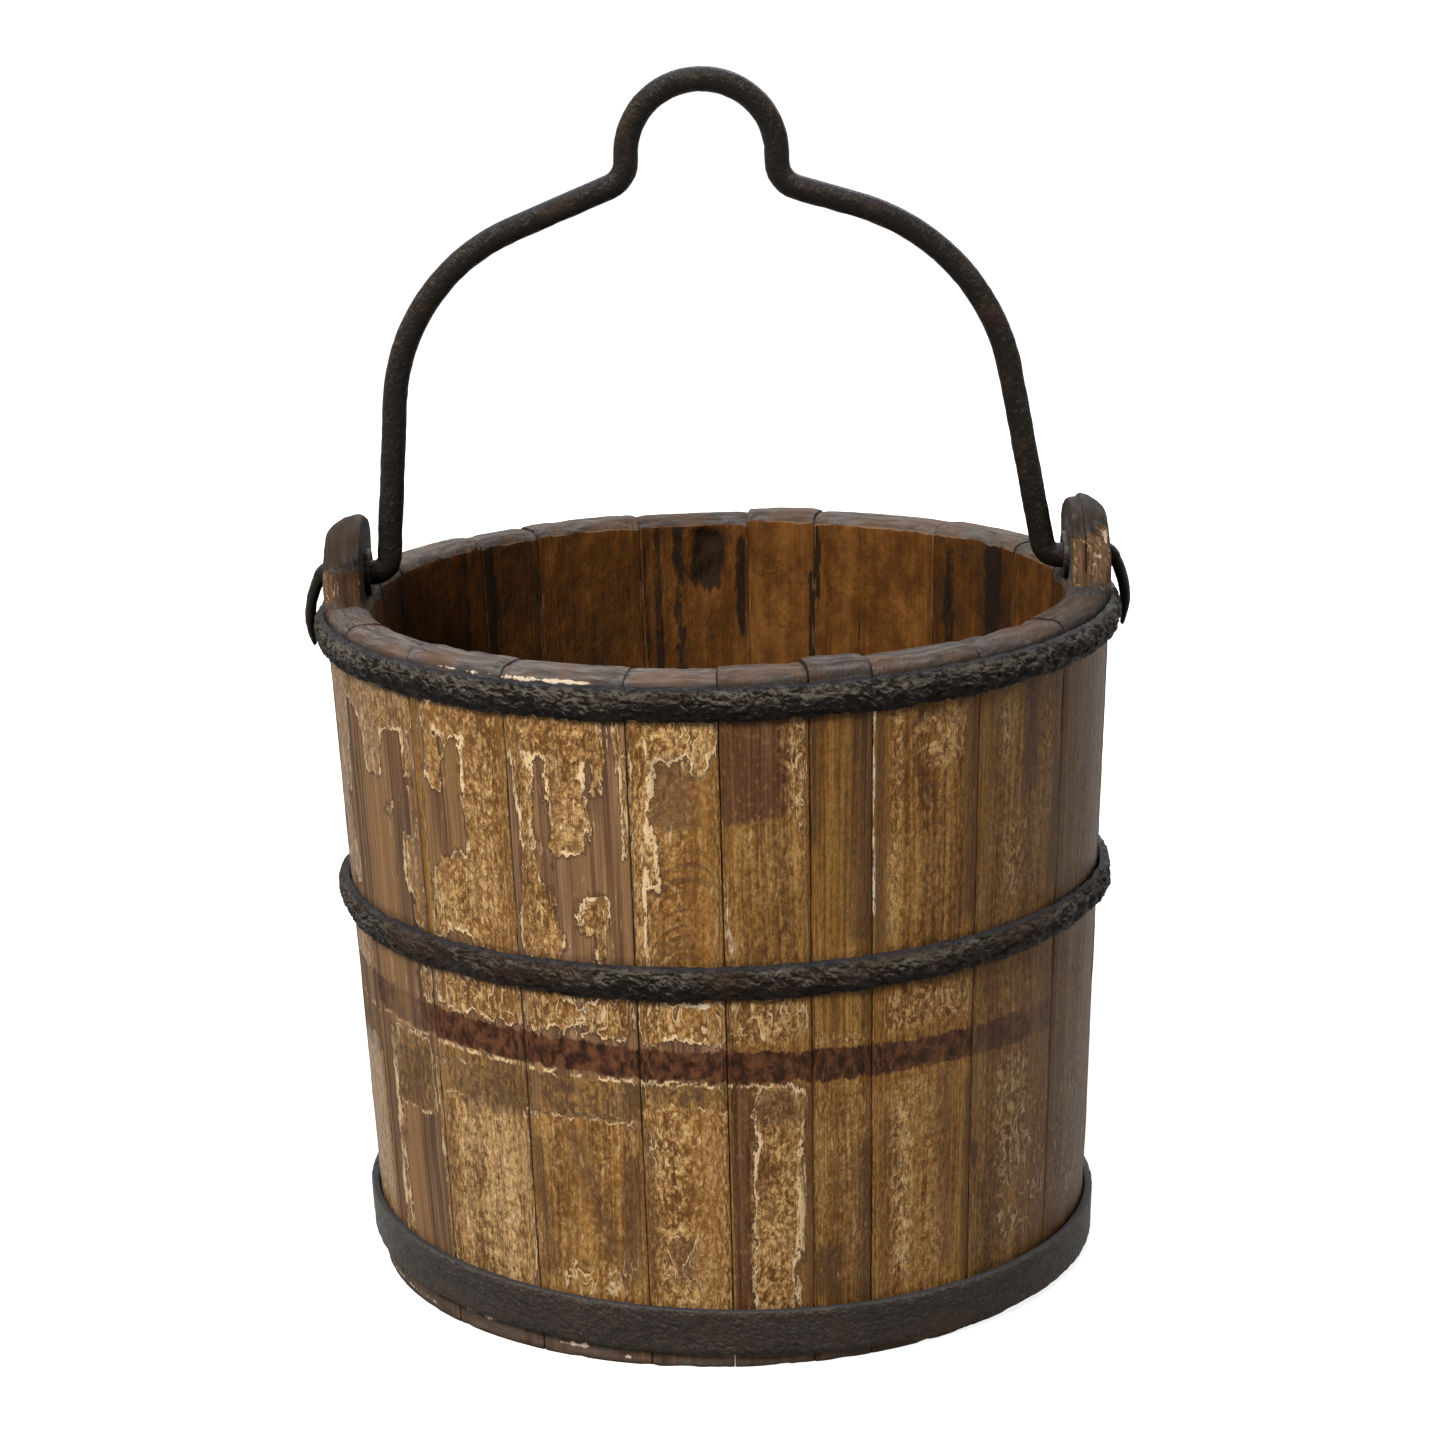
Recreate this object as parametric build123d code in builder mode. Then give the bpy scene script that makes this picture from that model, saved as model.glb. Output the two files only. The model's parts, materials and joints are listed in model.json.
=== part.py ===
"""Coopered well bucket: tapered staves, three iron hoops and a forged swing bail.

Millimetres, +Z up. The origin is the centre of the foot, on the floor. The ears and the
bail's pivot line lie along X.
"""

import os
from math import asin, cos, degrees, radians, sin, tan

from build123d import *

os.makedirs("parts", exist_ok=True)

# Body of the bucket, measured over the wood
rim_radius = 160.0
foot_radius = 148.2
rim_height = 280.0
wall = 17.5
rim_round_outer = 6.0
rim_round_inner = 5.0
foot_chamfer = 1.5
seam_ease = 0.8

# Staves: widths over the outside at the rim, from the left ear round the front to the right
# ear, then from the right ear round the back to the left ear. Each run fills its half.
front_stave_widths = (35, 52, 49, 50, 35, 34, 25, 48, 53, 63)
back_stave_widths = (46, 58, 68, 34, 55, 55, 35, 64, 29)
ear_stave_width = 58.5

# Ears: the bail's pivot line lies above the rim, with the ear's wood round it and above it
pivot_rise = 7.0
pivot_clearance = 0.4
ear_cover = 26.0
ear_thickness = 14.9
ear_arch_rise = 22.0
ear_crown_round = 10.5
ear_inner_round = 2.5

# Washers on the inner faces of the ears
washer_diameter = 19.5
washer_thickness = 2.2
washer_round = 1.2
washer_bore_clearance = 0.5
washer_recess = 0.3
washer_seat_clearance = 0.4

# Wooden pins between the staves
pin_diameter = 5.0
pin_length = 15.0
pin_clearance = 0.1
pin_end_clearance = 0.5
upper_pin_height = 212.0
lower_pin_height = 72.0

# Bottom boards and their groove in the staves
bottom_rise = 17.0
bottom_thickness = 13.0
croze_depth = 5.0
croze_clearance = 0.15
middle_board_width = 96.0
dowel_diameter = 6.0
dowel_length = 40.0
dowel_spacing = 120.0

# Iron hoops
hoop_clearance = 0.15
round_hoop_height = 13.0
round_hoop_proud = 4.2
top_hoop_drop = 12.0
middle_hoop_height = 159.0
band_height = 18.6
band_thickness = 3.3
band_middle_height = 15.7
band_tilt = 1.9

# Bail: rod, feet, legs, shoulders and rope loop. Rises are taken from the pivot line.
rod_diameter = 10.0
foot_bend = 6.5
foot_gap = 0.6
leg_lean_left = 10.0
leg_lean_right = 23.0
shoulder_rise_left = 119.5
shoulder_rise_right = 128.5
shoulder_bend_left = 80.0
shoulder_bend_right = 88.0
neck_rise_left = 156.4
neck_rise_right = 154.1
neck_bend = 11.0
loop_rise = 195.2
loop_radius = 30.0
loop_offset = -2.0
loop_flat = 1.0

# Tails: the rod's flattened ends, bent down outside the ears
tail_gap = 0.6
tail_reach = 10.2
tail_belly = 14.0
tail_drop = 31.6
tail_tip_thickness = 1.5
tail_hollow = 0.5
tail_hoop_clearance = 0.5
tail_root_width = 13.0
tail_tip_width = 6.5

# How far a cutter runs past the face that it cuts
bore_reach = 30.0


def wall_radius(height):
    """Outside radius of the wood at a height."""
    return foot_radius + (rim_radius - foot_radius) * height / rim_height


def seam_plane(angle):
    """Upright plane through the axis: X points outwards along the angle, Y points up."""
    outwards = (cos(radians(angle)), sin(radians(angle)), 0)
    normal = (sin(radians(angle)), -cos(radians(angle)), 0)
    return Plane(origin=(0, 0, 0), x_dir=outwards, z_dir=normal)


def pin_plane(angle, height):
    """Plane in the middle of the wall on a seam, facing along the pin."""
    reach = wall_radius(height) - wall / 2
    centre = (reach * cos(radians(angle)), reach * sin(radians(angle)), height)
    return Plane(origin=centre, z_dir=(-sin(radians(angle)), cos(radians(angle)), 0))


def save(builder, name):
    """Label a finished piece and write it."""
    builder.part.label = name
    export_step(builder.part, f"parts/{name}.step")


ear_angle = 2 * degrees(asin(ear_stave_width / 2 / rim_radius))
croze_radius = wall_radius(bottom_rise) - wall + croze_depth
top_hoop_height = rim_height - top_hoop_drop
pivot_height = rim_height + pivot_rise
ear_top = pivot_height + ear_cover
washer_seat = wall_radius(pivot_height) - wall + washer_recess
ear_flat = washer_seat + ear_thickness


def run_seams(start, widths):
    """Angles of the seams along one run of staves, the ends included."""
    turn = (180 - ear_angle) / sum(widths)
    seams = [start]
    for width in widths:
        seams.append(seams[-1] + width * turn)
    return seams


front_seams = run_seams(-180 + ear_angle / 2, front_stave_widths)
back_seams = run_seams(ear_angle / 2, back_stave_widths)


def stave_outline(top):
    """Points of a stave's section from its foot to a height, with the groove for the bottom."""
    groove_low = bottom_rise - croze_clearance
    groove_high = bottom_rise + bottom_thickness + croze_clearance
    return [
        (foot_radius, 0),
        (wall_radius(top), top),
        (wall_radius(top) - wall, top),
        (wall_radius(groove_high) - wall, groove_high),
        (croze_radius, groove_high),
        (croze_radius, groove_low),
        (wall_radius(groove_low) - wall, groove_low),
        (foot_radius - wall, 0),
    ]


def stave_blank(start, end, top, outer_round, inner_round):
    """A stave between two seams, with its pin holes and eased outer edges."""
    with BuildPart() as blank:
        with BuildSketch(seam_plane(start)) as section:
            with BuildLine():
                Polyline(*stave_outline(top), close=True)
            make_face()
            crown = section.vertices().group_by(Axis.Y)[-1].sort_by(Axis.X)
            fillet(crown[0], inner_round)
            fillet(crown[1], outer_round)
            chamfer(section.vertices().group_by(Axis.Y)[0], foot_chamfer)
        revolve(axis=Axis.Z, revolution_arc=end - start)
        chamfer(blank.edges().filter_by(GeomType.LINE).sort_by(SortBy.LENGTH)[-2:], seam_ease)
        holes = [pin_plane(a, z) for a in (start, end) for z in (upper_pin_height, lower_pin_height)]
        with Locations(*holes):
            hole_length = pin_length + 2 * pin_end_clearance
            Cylinder(pin_diameter / 2 + pin_clearance, hole_length, mode=Mode.SUBTRACT)
    return blank.part


def plain_stave(start, end):
    """A stave that ends at the rim."""
    with BuildPart() as stave:
        add(stave_blank(start, end, rim_height, rim_round_outer, rim_round_inner))
    return stave


def ear_stave(side):
    """A stave that rises above the rim into a round ear with the bail's hole. Side is +1 or -1."""
    middle = 0 if side > 0 else 180
    face = Plane(origin=(0, 0, 0), x_dir=(0, side, 0), z_dir=(side, 0, 0))
    ear_spring = ear_top - ear_arch_rise
    flat_foot = top_hoop_height + round_hoop_height / 2 + hoop_clearance
    with BuildPart() as stave:
        half = ear_angle / 2
        add(stave_blank(middle - half, middle + half, ear_top, ear_crown_round, ear_inner_round))
        with BuildSketch(face):
            with Locations((0, ear_spring)):
                Ellipse(ear_stave_width / 2, ear_arch_rise)
            with Locations((0, ear_spring / 2)):
                Rectangle(ear_stave_width, ear_spring)
        extrude(amount=rim_radius + bore_reach, mode=Mode.INTERSECT)
        with BuildSketch(face.offset(ear_flat)):
            with Locations((0, (flat_foot + ear_top) / 2)):
                Rectangle(ear_stave_width, ear_top - flat_foot)
        extrude(amount=bore_reach, mode=Mode.SUBTRACT)
        with BuildSketch(face.offset(washer_seat - bore_reach)):
            with Locations((0, pivot_height)):
                Circle(washer_diameter / 2 + washer_seat_clearance)
        extrude(amount=bore_reach, mode=Mode.SUBTRACT)
        with BuildSketch(face.offset(washer_seat - bore_reach)):
            with Locations((0, pivot_height)):
                Circle(rod_diameter / 2 + pivot_clearance)
        extrude(amount=2 * bore_reach, mode=Mode.SUBTRACT)
    return stave


def stave_pins(height):
    """One wooden pin across every seam at a height."""
    with BuildPart() as pins:
        with Locations(*[pin_plane(angle, height) for angle in front_seams + back_seams]):
            Cylinder(pin_diameter / 2, pin_length)
    return pins


def round_hoop(height):
    """A half-round iron hoop whose flat side lies on the staves."""
    low = height - round_hoop_height / 2
    high = height + round_hoop_height / 2
    with BuildPart() as hoop:
        with BuildSketch(seam_plane(0)):
            with BuildLine():
                foot = (wall_radius(low) + hoop_clearance, low)
                head = (wall_radius(high) + hoop_clearance, high)
                belly = (wall_radius(height) + hoop_clearance + round_hoop_proud, height)
                ThreePointArc(foot, belly, head)
                Line(head, foot)
            make_face()
        revolve(axis=Axis.Z)
    return hoop


def band_hoop():
    """A flat iron band on the staves' taper, cut level with its own tilt, low on the right."""
    spill = band_height / 2 + foot_radius * tan(radians(band_tilt)) + band_thickness
    low = band_middle_height - spill
    high = band_middle_height + spill
    with BuildPart() as hoop:
        with BuildSketch(seam_plane(0)):
            with BuildLine():
                Polyline(
                    (wall_radius(low) + hoop_clearance, low),
                    (wall_radius(low) + hoop_clearance + band_thickness, low),
                    (wall_radius(high) + hoop_clearance + band_thickness, high),
                    (wall_radius(high) + hoop_clearance, high),
                    close=True,
                )
            make_face()
        revolve(axis=Axis.Z)
        across = (sin(radians(band_tilt)), 0, cos(radians(band_tilt)))
        upper_cut = Plane(origin=(0, 0, band_middle_height + band_height / 2), z_dir=across)
        lower_cut = Plane(origin=(0, 0, band_middle_height - band_height / 2), z_dir=across)
        split(bisect_by=upper_cut, keep=Keep.BOTTOM)
        split(bisect_by=lower_cut, keep=Keep.TOP)
    return hoop


def dowel_planes():
    """Planes at the dowels, on both seams of the bottom, facing along the dowels."""
    height = bottom_rise + bottom_thickness / 2
    planes = []
    for seam in (-middle_board_width / 2, middle_board_width / 2):
        for place in (-dowel_spacing / 2, dowel_spacing / 2):
            planes.append(Plane(origin=(seam, place, height), z_dir=(1, 0, 0)))
    return planes


def bottom_board(low, high):
    """The part of the round bottom between two lines across it."""
    board_radius = croze_radius - croze_clearance
    with BuildPart() as board:
        with BuildSketch(Plane.XY.offset(bottom_rise)):
            Circle(board_radius)
            with Locations(((low + high) / 2, 0)):
                Rectangle(high - low, 2 * board_radius, mode=Mode.INTERSECT)
        extrude(amount=bottom_thickness)
        with Locations(*dowel_planes()):
            hole_length = dowel_length + 2 * pin_end_clearance
            Cylinder(dowel_diameter / 2 + pin_clearance, hole_length, mode=Mode.SUBTRACT)
    return board


def bottom_dowels():
    """Dowels across the bottom's two seams."""
    with BuildPart() as dowels:
        with Locations(*dowel_planes()):
            Cylinder(dowel_diameter / 2, dowel_length)
    return dowels


def ear_washer(side):
    """A round iron washer between an ear and the bail's foot."""
    inner_face = side * (washer_seat - washer_thickness)
    outwards = Plane(origin=(inner_face, 0, pivot_height), z_dir=(side, 0, 0))
    with BuildPart() as washer:
        with BuildSketch(outwards):
            Circle(washer_diameter / 2)
            Circle(rod_diameter / 2 + washer_bore_clearance, mode=Mode.SUBTRACT)
        extrude(amount=washer_thickness)
        near_face = washer.faces().filter_by(Axis.X).sort_by(Axis.X)[0 if side > 0 else -1]
        fillet(near_face.edges().sort_by(SortBy.RADIUS)[-1], washer_round)
    return washer


def bail_tail(side):
    """The flattened end of the bail's rod, curving down outside an ear."""
    root = ear_flat + tail_gap
    hoop_reach = wall_radius(top_hoop_height) + hoop_clearance + round_hoop_proud
    inside = hoop_reach + tail_hoop_clearance
    tip_height = pivot_height - tail_drop
    with BuildPart() as tail:
        with BuildSketch(Plane.XZ):
            with BuildLine():
                head = (side * root, pivot_height + rod_diameter / 2)
                belly = (side * (root + tail_reach), pivot_height - tail_belly)
                tip_outer = (side * (inside + tail_tip_thickness), tip_height)
                tip_inner = (side * inside, tip_height)
                hollow = (side * (inside + tail_hollow), pivot_height - tail_belly)
                heel = (side * root, pivot_height - rod_diameter / 2)
                ThreePointArc(head, belly, tip_outer)
                Line(tip_outer, tip_inner)
                ThreePointArc(tip_inner, hollow, heel)
                Line(heel, head)
            make_face()
        extrude(amount=tail_root_width / 2, both=True)
        with BuildSketch(Plane(origin=(0, 0, 0), x_dir=(0, side, 0), z_dir=(side, 0, 0))):
            with Locations((0, pivot_height)):
                Circle(tail_root_width / 2)
            with Locations((0, tip_height + tail_tip_width / 2)):
                Circle(tail_tip_width / 2)
            make_hull()
        extrude(amount=rim_radius + bore_reach, mode=Mode.INTERSECT)
    return tail.part


def bail_rod():
    """The bail: one rod from tail to tail, with its rope loop at the top."""
    root = ear_flat + tail_gap
    foot = washer_seat - washer_thickness - foot_gap - foot_bend
    left_neck = loop_offset - loop_radius
    right_neck = loop_offset + loop_radius
    route = [
        (-root, pivot_height),
        (-foot, pivot_height),
        (leg_lean_left - foot, pivot_height + shoulder_rise_left),
        (left_neck, pivot_height + neck_rise_left),
        (left_neck, pivot_height + loop_rise),
        (right_neck, pivot_height + loop_rise),
        (right_neck, pivot_height + neck_rise_right),
        (foot - leg_lean_right, pivot_height + shoulder_rise_right),
        (foot, pivot_height),
        (root, pivot_height),
    ]
    loop_bend = loop_radius - loop_flat / 2
    bends = [
        foot_bend,
        shoulder_bend_left,
        neck_bend,
        loop_bend,
        loop_bend,
        neck_bend,
        shoulder_bend_right,
        foot_bend,
    ]
    with BuildPart() as bail:
        with BuildLine(Plane.XZ) as path:
            FilletPolyline(*route, radius=bends)
        with BuildSketch(Plane(origin=path.line @ 0, z_dir=path.line % 0)):
            Circle(rod_diameter / 2)
        sweep(path=path.line)
        add(bail_tail(-1))
        add(bail_tail(1))
    return bail


# Staves are numbered from the left ear round the front, then round the back
seam_pairs = list(zip(front_seams, front_seams[1:])) + list(zip(back_seams, back_seams[1:]))
for number, (start, end) in enumerate(seam_pairs, 1):
    save(plain_stave(start, end), f"stave_{number:02d}")

save(ear_stave(-1), "ear_stave_left")
save(ear_stave(1), "ear_stave_right")
save(stave_pins(upper_pin_height), "stave_pins_upper")
save(stave_pins(lower_pin_height), "stave_pins_lower")

half_board = middle_board_width / 2
save(bottom_board(-croze_radius, -half_board), "bottom_board_left")
save(bottom_board(-half_board, half_board), "bottom_board_middle")
save(bottom_board(half_board, croze_radius), "bottom_board_right")
save(bottom_dowels(), "bottom_dowels")

save(round_hoop(top_hoop_height), "hoop_top")
save(round_hoop(middle_hoop_height), "hoop_middle")
save(band_hoop(), "hoop_bottom")

save(ear_washer(-1), "ear_washer_left")
save(ear_washer(1), "ear_washer_right")
save(bail_rod(), "bail")
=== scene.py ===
"""An old coopered well bucket: worn staves under flaking varnish, forged hoops, a swing bail.

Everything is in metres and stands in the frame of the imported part, with the ears along X and the
front of the bucket towards -Y.
"""

import json
import math
import random

import bmesh
import bpy
from bpy.props import FloatProperty, FloatVectorProperty, PointerProperty
from mathutils import Matrix, Vector, noise


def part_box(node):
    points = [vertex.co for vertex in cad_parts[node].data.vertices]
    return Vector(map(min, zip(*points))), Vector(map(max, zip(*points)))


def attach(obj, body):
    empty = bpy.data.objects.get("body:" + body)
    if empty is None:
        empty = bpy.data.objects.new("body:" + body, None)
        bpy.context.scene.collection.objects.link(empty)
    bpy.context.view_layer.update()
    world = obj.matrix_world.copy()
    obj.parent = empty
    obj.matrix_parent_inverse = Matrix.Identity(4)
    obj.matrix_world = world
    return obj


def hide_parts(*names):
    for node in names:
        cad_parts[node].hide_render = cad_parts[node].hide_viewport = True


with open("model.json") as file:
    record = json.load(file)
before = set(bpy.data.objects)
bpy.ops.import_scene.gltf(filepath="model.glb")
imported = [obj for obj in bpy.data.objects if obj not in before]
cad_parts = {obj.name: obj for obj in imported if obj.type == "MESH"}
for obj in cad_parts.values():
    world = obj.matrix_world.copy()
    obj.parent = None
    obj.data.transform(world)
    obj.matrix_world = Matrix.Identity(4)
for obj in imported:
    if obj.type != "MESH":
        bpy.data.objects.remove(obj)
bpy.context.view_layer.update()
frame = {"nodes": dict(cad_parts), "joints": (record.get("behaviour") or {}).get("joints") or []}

bl_info = {
    "name": "Well bucket",
    "version": (1, 0, 0),
    "blender": (4, 5, 0),
    "location": "View3D > Sidebar > Bucket",
    "description": "Builds an old stave bucket with iron hoops and a swing bail",
    "category": "Add Mesh",
}

pivot = Vector(frame["joints"][0]["pos_m"])

MM = 0.001
ORIGIN, UPWARDS = (0.0, 0.0, 0.0), (0.0, 0.0, 1.0)
PLAIN_STAVES = [f"stave_{number:02d}" for number in range(1, 20)]
EAR_STAVES = {"ear_stave_left": -1, "ear_stave_right": 1}
WASHERS = ("ear_washer_left", "ear_washer_right")
BOARDS = ("bottom_board_left", "bottom_board_middle", "bottom_board_right")
HIDDEN_WOOD = ("stave_pins_upper", "stave_pins_lower", "bottom_dowels")


def length(name, description, default):
    """A length that a user may change."""
    return FloatProperty(name=name, description=description, default=default, unit="LENGTH", precision=5)


def colour(name, description, default):
    """A colour that a user may change."""
    return FloatVectorProperty(
        name=name, description=description, default=default, subtype="COLOR", min=0.0, max=1.0
    )


class BucketSizes(bpy.types.PropertyGroup):
    """Sizes of the wood and the iron."""

    rim_radius: length("Rim radius", "Outside of the wood at the rim", 160.0 * MM)
    foot_radius: length("Foot radius", "Outside of the wood at the floor", 148.2 * MM)
    rim_height: length("Rim height", "Top of the plain staves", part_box("stave_01")[1].z)
    ear_top: length("Ear top", "Top of the ears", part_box("ear_stave_left")[1].z)
    wall: length("Wall", "Thickness of the staves", 17.5 * MM)
    cell: length("Cell", "Side of the mesh cells on the wood", 2.4 * MM)
    seam_gap: length("Seam gap", "How far a stave's edge falls back at a seam", 0.6 * MM)
    rim_wear: length("Rim wear", "Depth of the wear on the staves' tops", 0.8 * MM)
    hole_radius: length("Ear hole", "Radius of the bail's hole in an ear", 5.4 * MM)
    hoop_proud: length("Hoop proud", "How far a round hoop stands out", 4.2 * MM)
    hoop_gap: length("Hoop gap", "Room between a hoop and the wood", 0.15 * MM)
    band_thickness: length("Band thickness", "Thickness of the bottom hoop", 3.3 * MM)
    band_slope: FloatProperty(
        name="Band slope", description="Fall of the bottom hoop to the right", default=math.radians(1.9),
        subtype="ANGLE",
    )
    hammer: length("Hammer marks", "Depth of the dents in the iron", 1.3 * MM)
    rod_radius: length("Rod radius", "Radius of the bail's rod", 5.0 * MM)


class BucketColours(bpy.types.PropertyGroup):
    """Colours of the wood and the iron."""

    varnish_deep: colour("Deep varnish", "Hollows of the old varnish", (0.102, 0.042, 0.011))
    varnish_gold: colour("Gold varnish", "Body of the old varnish", (0.335, 0.168, 0.055))
    varnish_pale: colour("Pale varnish", "Flecks of the old varnish", (0.500, 0.308, 0.122))
    cream: colour("Cream", "Lifted edges of the varnish", (0.640, 0.445, 0.245))
    amber_deep: colour("Deep amber", "Dark grain under clear varnish", (0.075, 0.029, 0.007))
    amber: colour("Amber", "Varnish that is still clear", (0.215, 0.095, 0.021))
    amber_pale: colour("Pale amber", "Pale grain under clear varnish", (0.345, 0.180, 0.048))
    bare_dark: colour("Dark bare wood", "Dark fibres of bare wood", (0.068, 0.034, 0.018))
    bare_wood: colour("Bare wood", "Bare wood", (0.150, 0.079, 0.040))
    bare_pale: colour("Pale bare wood", "Pale fibres of bare wood", (0.250, 0.142, 0.074))
    orange: colour("Orange wood", "Warm streaks of bare wood", (0.260, 0.140, 0.058))
    block: colour("Dark block", "Dark red wood where the varnish fell off", (0.084, 0.034, 0.016))
    stain: colour("Stain", "Mark of a lost hoop", (0.016, 0.006, 0.004))
    stain_red: colour("Red stain", "Rust in the lost hoop's mark", (0.110, 0.042, 0.020))
    dull: colour("Dull film", "Grey film under the lost hoop", (0.112, 0.061, 0.024))
    crumb: colour("Crumb", "Crumbs left beside the hoops", (0.570, 0.450, 0.330))
    inside_dark: colour("Dark inside", "Dark streaks inside", (0.016, 0.007, 0.003))
    inside_deep: colour("Deep inside", "Soaked wood inside", (0.036, 0.016, 0.006))
    inside_wood: colour("Inside", "Wood inside the bucket", (0.092, 0.033, 0.007))
    inside_pale: colour("Pale inside", "Pale streaks inside", (0.190, 0.076, 0.018))
    grey_dark: colour("Dark weathered wood", "Cracks in weathered wood", (0.050, 0.038, 0.031))
    grey_wood: colour("Weathered wood", "Weathered wood of rim and ears", (0.106, 0.089, 0.081))
    grey_pale: colour("Pale weathered wood", "Worn edges of weathered wood", (0.178, 0.152, 0.136))
    # Dark iron is also painted shade, under the iron and along the hoops' edges on the wood, and pale iron
    # is also the painted highlight on the slopes of the iron's scale that face up
    iron_dark: colour("Dark iron", "Hollows of the iron", (0.010, 0.008, 0.006))
    iron: colour("Iron", "Body of the iron", (0.042, 0.033, 0.026))
    iron_pale: colour("Pale iron", "Rubbed ridges of the iron", (0.160, 0.138, 0.106))
    # Blue iron is a painted reflection of the sky on the top side of the iron
    iron_sky_reflection: colour("Blue iron", "Upper side of the iron", (0.045, 0.045, 0.055))
    rust: colour("Rust", "Brown rust", (0.052, 0.028, 0.017))


class StageSettings(bpy.types.PropertyGroup):
    """Light and camera."""

    key_power: FloatProperty(name="Key", description="Power of the big lamp", default=82.0, unit="POWER")
    top_power: FloatProperty(name="Top", description="Power of the lamp above", default=13.0, unit="POWER")
    back_power: FloatProperty(
        name="Back", description="Power of the lamp behind", default=40.0, unit="POWER"
    )
    room: FloatProperty(name="Room", description="Light from all round", default=0.08)
    camera_place: FloatVectorProperty(
        name="Camera", description="Place of the camera", default=(0.0, -1.4081, 0.582), unit="LENGTH"
    )
    camera_pitch: FloatProperty(
        name="Pitch", description="How far the camera looks down", default=math.radians(14.32),
        subtype="ANGLE",
    )
    camera_yaw: FloatProperty(
        name="Yaw", description="How far the camera looks to the left", default=math.radians(0.07),
        subtype="ANGLE",
    )
    camera_roll: FloatProperty(
        name="Roll", description="Tilt of the camera", default=math.radians(-1.5), subtype="ANGLE",
    )
    lens: FloatProperty(name="Lens", description="Focal length", default=88.49, unit="CAMERA")


# How each stave has aged: smoothness of its varnish, darkness, greyness, lift of its top in mm
STAVE_AGE = {
    "stave_01": (0.3, 0.05, 0.75, -0.8),
    "stave_02": (0.1, 0.00, 0.30, -1.2),
    "stave_03": (0.0, 0.00, 0.00, -0.4),
    "stave_04": (0.1, 0.00, 0.00, -1.0),
    "stave_05": (0.2, 0.00, 0.00, -1.4),
    "stave_06": (0.7, 0.12, 0.00, -0.6),
    "stave_07": (1.0, 0.22, 0.00, 1.0),
    "stave_08": (0.8, 0.08, 0.05, -0.5),
    "stave_09": (0.7, 0.22, 0.30, -0.9),
    "stave_10": (0.7, 0.48, 0.75, -0.3),
    "stave_11": (0.4, 0.15, 0.50, -1.0),
    "stave_12": (0.2, 0.10, 0.20, -0.2),
    "stave_13": (0.5, 0.00, 0.10, -0.7),
    "stave_14": (0.1, 0.05, 0.00, 0.4),
    "stave_15": (0.8, 0.10, 0.10, -1.5),
    "stave_16": (0.3, 0.00, 0.05, -0.6),
    "stave_17": (0.0, 0.10, 0.20, -1.1),
    "stave_18": (0.6, 0.05, 0.30, -0.3),
    "stave_19": (0.2, 0.10, 0.60, -0.9),
    "ear_stave_left": (0.3, 0.10, 0.70, 0.0),
    "ear_stave_right": (0.4, 0.15, 0.60, 0.0),
}
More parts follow.
